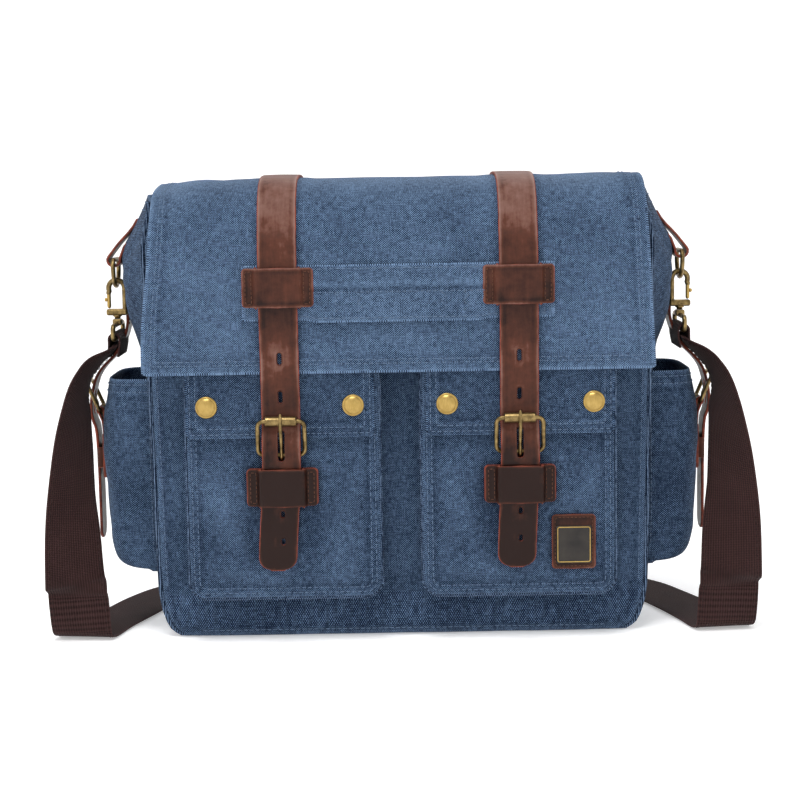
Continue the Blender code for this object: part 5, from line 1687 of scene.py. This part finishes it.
def route_frames(step=2.2 * MM):
    """Centres and width directions along the webbing, evenly spaced, smooth through the route's rows."""
    rows = arr(LEFT_FALL + RIGHT_RISE)
    padded = np.concatenate([2 * rows[:1] - rows[1:2], rows, 2 * rows[-1:] - rows[-2:-1]])
    out = []
    for i in range(1, len(padded) - 2):
        p0, p1, p2, p3 = padded[i - 1 : i + 3]
        t = np.linspace(0, 1, 60, endpoint=False)[:, None]
        square, cube = 2 * p0 - 5 * p1 + 4 * p2 - p3, 3 * p1 - p0 - 3 * p2 + p3
        out.append(0.5 * (2 * p1 + (p2 - p0) * t + square * t**2 + cube * t**3))
    fine = np.concatenate(out + [rows[-1:]])
    run = run_along(fine[:, :3])
    s = np.linspace(0, run[-1], int(run[-1] / step))
    at = np.stack([np.interp(s, run, fine[:, i]) for i in range(5)], axis=-1)
    centres = at[:, :3]
    height = centres[:, 2]
    curl = CURL * smoothstep(height, 2 * MM, 12 * MM) * (1 - smoothstep(height, 22 * MM, 70 * MM))
    centres[:, 2] += curl * WEBBING_WIDTH / 2 * (1 - smoothstep(height, 10 * MM, 40 * MM))
    along = unit(np.gradient(centres, axis=0))
    wide = np.concatenate([at[:, 3:], -curl[:, None]], axis=1)
    wide = unit(wide - along * (wide * along).sum(axis=1)[:, None])
    return s, centres, wide, np.cross(along, wide)


def make_webbing():
    """The strap with its loops, pad and stitches: (ribbon, other pieces, length, exit point, path)."""
    s, centres, wide, normal = route_frames()
    half = WEBBING_WIDTH / 2 - 0.5 * MM
    u = np.linspace(-1, 1, 17)[None]
    s2 = s[:, None]
    lying = 1 - smoothstep(centres[:, 2], 2 * MM, 14 * MM)[:, None]
    ripple = 0.35 * MM * ripples(u * 22 * MM, s2, 171, (60, 30)) * (1 - lying)
    lift = WEBBING_THICK / 2 - 0.15 * MM * np.abs(u) ** 6 + ripple
    points = centres[:, None] + wide[:, None] * (u * half)[..., None] + normal[:, None] * lift[..., None]
    uvs = np.stack(np.broadcast_arrays(u * 22 * MM, s2), axis=-1)
    ribbon = slab("shoulder_webbing", points, uvs, WEBBING_THICK, [WEBBING], flip=True, edge=0.5 * MM)
    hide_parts("strap_webbing")
    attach(ribbon, "bag")
    pieces = [make_sewn_loop(label, side) for label, side in SIDES.items()]
    pieces.append(make_shoulder_pad(s, centres, wide, normal))
    for k in (-1, 1):
        line = centres + wide * k * (WEBBING_WIDTH / 2 - 3.2 * MM) + normal * (WEBBING_THICK / 2 - 0.1 * MM)
        add_stitches(line[::2], normal[::2], "webbing_thread")
    length = float(s[-1])
    path = raised(np.concatenate([centres[:-1:4], centres[-1:]])).tolist()
    return ribbon, pieces, length, tuple(path[0]), path


def make_sewn_loop(label, side):
    """The webbing's end, turned over the eye's bar and sewn down to itself."""
    turn = [(-x, z) for x, z in arc((0, 209), 2.7, 180, 0, 18)[::-1]]
    path = [(-1.0, 196), (-2.7, 204)] + turn + [(2.7, 204), (3.2, 198)]
    line = Line(softened([(HANG_X / MM + x, z) for x, z in path], 2))

    def surface(w, s):
        flat = line.at(s) + line.left(s) * 0.7 * MM
        return np.stack([side * flat[..., 0], HANG_Y + w, flat[..., 1]], axis=-1)

    a, b = spread(line.rows(1.0 * MM), WEBBING_WIDTH / 2 - 0.5 * MM, 17)
    cloth = Cloth(surface, flip=side < 0)
    piece = cloth.piece(f"webbing_loop_{label}", a, b, WEBBING_THICK, [WEBBING], edge=0.4 * MM)
    return put(piece, "bag", "webbing")


def make_shoulder_pad(s, centres, wide, normal):
    """A stitched leather pad with a soft filling, over the webbing behind and beside the bag."""
    on = np.nonzero((centres[:, 1] > 90 * MM) & (centres[:, 0] > -60 * MM))[0]
    part, run = slice(on[0], on[-1] + 1), s[on[0] : on[-1] + 1]
    columns, half = 27, 26.5 * MM
    u = np.linspace(-1, 1, columns)[None]
    ends = np.minimum(run - run[0], run[-1] - run)
    width = rounded_half(ends, half, 0, 13 * MM)
    rise = normal[part] * np.sign(normal[part][:, 2:3])
    edge = np.minimum(width[:, None] * (1 - np.abs(u)), ends[:, None])
    crown = 0.7 * MM + 3.1 * MM * smoothstep(edge, 0, 9 * MM) - 0.5 * MM * bell(edge, 3.4 * MM, 1.1 * MM)
    crown = crown + 0.3 * MM * ripples(u * half, run[:, None], 181)
    points = centres[part][:, None] + wide[part][:, None] * (u * width[:, None])[..., None]
    points = points + rise[:, None] * crown[..., None]
    uvs = np.stack(np.broadcast_arrays(u * half, run[:, None]), axis=-1)
    worn_and_shaded = 0.6 * bell(edge, 0, 1.5 * MM) - 0.4 * bell(edge, 3.4 * MM, 1.2 * MM)
    worn_and_shaded = worn_and_shaded + 0.3 * ripples(u * half, run[:, None], 183)
    flip, thick = normal[part][0, 2] > 0, crown + 0.2 * MM
    pad = slab("shoulder_pad_leather", points, uvs, thick, HIDE, worn_and_shaded, flip, edge=0.7 * MM, square=0.6)
    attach(pad, "bag")
    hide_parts("shoulder_pad")
    for k in (-1, 1):
        line = points[4:-4, int(round((columns - 1) / 2 * (1 + k * 0.875)))]
        add_stitches(line, rise[4:-4], "pad_thread")
    return pad


# --- Label, and CAD parts that show as they are ---


def make_label():
    low, high = LABEL_Z
    half, centre = LABEL_HALF, LABEL_X
    cloth = Cloth(lambda x, z: np.stack([x, -86.0 * MM + 0.1 * MM * ripples(x, z, 191), z], axis=-1))

    def wear_and_shade(x, z):
        return leather_wear(x - centre, half, np.minimum(z - low, high - z), 193, z) - 0.2

    a, b = patch_grid(low, high, half, 3 * MM, 2 * MM, 24, centre)
    patch = cloth.piece("label_leather", a, b, 1.6 * MM, HIDE, wear_and_shade, edge=0.4 * MM, square=0.6)
    put(patch, "bag", "leather", "label_patch")
    inset = 2.0 * MM
    outline = border(centre - half + inset, low + inset, centre + half - inset, high - inset, 2 * MM)
    cloth.sew(outline, "tab_thread", 2.9 * MM, 2.1 * MM, 0.27 * MM)
    left, bottom, right, top = PLATE
    face_y, back_y = PLATE_Y
    plate = block((left, face_y, bottom), (right, back_y, top))
    put(solid_piece("plate_enamelled", [plate], ENAMEL, 0.5 * MM), "bag", "plate", "label_plate")
    outline = border(left + MM, bottom + MM, right - MM, top - MM, 1.5 * MM, closed=False)
    rim = [(x, face_y, z) for x, z in outline]
    put(mesh_piece("plate_border", *tube(rim, 0.42 * MM, True, 8), [GOLD]), "bag", "gold")


def dress_frame_parts():
    """Materials and eased edges for the CAD parts that no other piece stands for."""
    looks = {"strap_slider": BRASS, "base_board": BOARD}
    looks.update({f"magnet_socket_{label}": STEEL for label in SIDES})
    for name, look in looks.items():
        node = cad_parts[name]
        node.data.materials.clear()
        node.data.materials.append(look)
        eased = node.modifiers.new("Eased", "BEVEL")
        eased.width, eased.segments, eased.limit_method = 0.5 * MM, 2, "ANGLE"
        eased.angle_limit = math.radians(40)


# --- Picture: camera, light and floor ---


def make_camera():
    """Straight in front, looking a little down, and rolled by about a degree."""
    aim = Vector(CAMERA_AIM)
    data = bpy.data.cameras.new("camera")
    data.lens, data.sensor_width, data.clip_end = 85, 36, 40
    camera = bpy.data.objects.new("camera", data)
    camera.location = aim + Vector((0, -math.cos(CAMERA_TILT), math.sin(CAMERA_TILT))) * CAMERA_DISTANCE
    look = (aim - camera.location).to_track_quat("-Z", "Y").to_matrix().to_4x4()
    aimed = Matrix.Translation(camera.location) @ look
    camera.matrix_world = aimed @ Matrix.Rotation(CAMERA_ROLL, 4, "Z")
    bpy.context.scene.collection.objects.link(camera)
    bpy.context.scene.camera = camera


def make_stage():
    """A wide white bowl: flat under the bag, and curving up all round."""
    turns = np.linspace(0.1, math.pi / 2, 12)
    profile = [(r, 0.0) for r in np.linspace(0.05, FLAT_FLOOR, 12)]
    profile += [(FLAT_FLOOR + BOWL * math.sin(t), BOWL * (1 - math.cos(t))) for t in turns]
    profile += [(4.0, 3.4)]
    sides = 72
    angles = np.linspace(0, TAU, sides, endpoint=False)
    verts = [(r * math.cos(t), r * math.sin(t), z - 0.3 * MM) for r, z in profile for t in angles]
    grid = np.arange(len(verts)).reshape(len(profile), sides)
    quads = np.stack([grid[:-1], grid[1:], np.roll(grid[1:], -1, 1), np.roll(grid[:-1], -1, 1)], axis=-1)
    faces = quads.reshape(-1, 4)[:, ::-1].tolist() + [grid[0].tolist()]
    floor = mesh_piece("floor", verts, faces, [floor_look()])


def make_light(name, place, target, size, power, tint=(1, 1, 1)):
    data = bpy.data.lights.new(name, "AREA")
    data.shape, data.size, data.energy, data.color = "DISK", size, power, tint
    lamp = bpy.data.objects.new(name, data)
    lamp.location = place
    lamp.rotation_euler = (Vector(target) - Vector(place)).to_track_quat("-Z", "Y").to_euler()
    bpy.context.scene.collection.objects.link(lamp)


def make_lights():
    make_light("key", (-0.3, -1.0, 2.5), LIGHT_AIM, 1.3, 42)
    make_light("fill", (-2.2, -1.4, 1.2), LIGHT_AIM, 1.6, 5)
    make_light("back", (0.5, 1.8, 2.2), LIGHT_AIM, 1.8, 16)
    world = bpy.data.worlds.new("studio")
    world.use_nodes = True
    background = world.node_tree.nodes["Background"]
    background.inputs["Color"].default_value = (1.0, 1.0, 1.0, 1.0)
    background.inputs["Strength"].default_value = SKY_STRENGTH
    bpy.context.scene.world = world
    bpy.context.scene.view_settings.view_transform = "Standard"


# --- Everything, in order ---

make_camera()
make_stage()
make_lights()
ribbon, strap_pieces, strap_length, strap_exit, strap_path = make_webbing()
make_shell_panels()
make_base()
make_welts()
make_lining()
make_divider()
for label, side in SIDES.items():
    make_gusset(label, side)
    make_front_pocket(label, side)
    make_side_pocket(label, side)
    make_lid(label, side)
make_flap()
make_handle()
for label, side in SIDES.items():
    make_flap_strap(label, side)
    make_keeper("upper_keeper", label, side, -94.5, *UPPER_KEEPER)
    make_keeper("lower_keeper", label, side, -92.3, *LOWER_KEEPER)
    make_front_buckle(label, side)
    make_side_belt(label, side)
    make_hanger(label, side)
make_label()
dress_frame_parts()
make_threads("bag_thread", THREAD, "bag", "canvas")
make_threads("flap_thread", THREAD, "flap", "canvas")
make_threads("strap_thread", THREAD_BROWN, "flap", "leather")
make_threads("tab_thread", THREAD_BROWN, "bag", "leather")
for label in SIDES:
    make_threads(f"lid_thread_{label}", THREAD, f"lid_{label}", "canvas")
strap_pieces.append(make_threads("webbing_thread", THREAD_DARK, "bag", "webbing"))
strap_pieces.append(make_threads("pad_thread", THREAD_BROWN, "bag", "leather"))
strap_pieces.append(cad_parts["strap_slider"])
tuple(strap_exit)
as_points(strap_path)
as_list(strap_pieces)
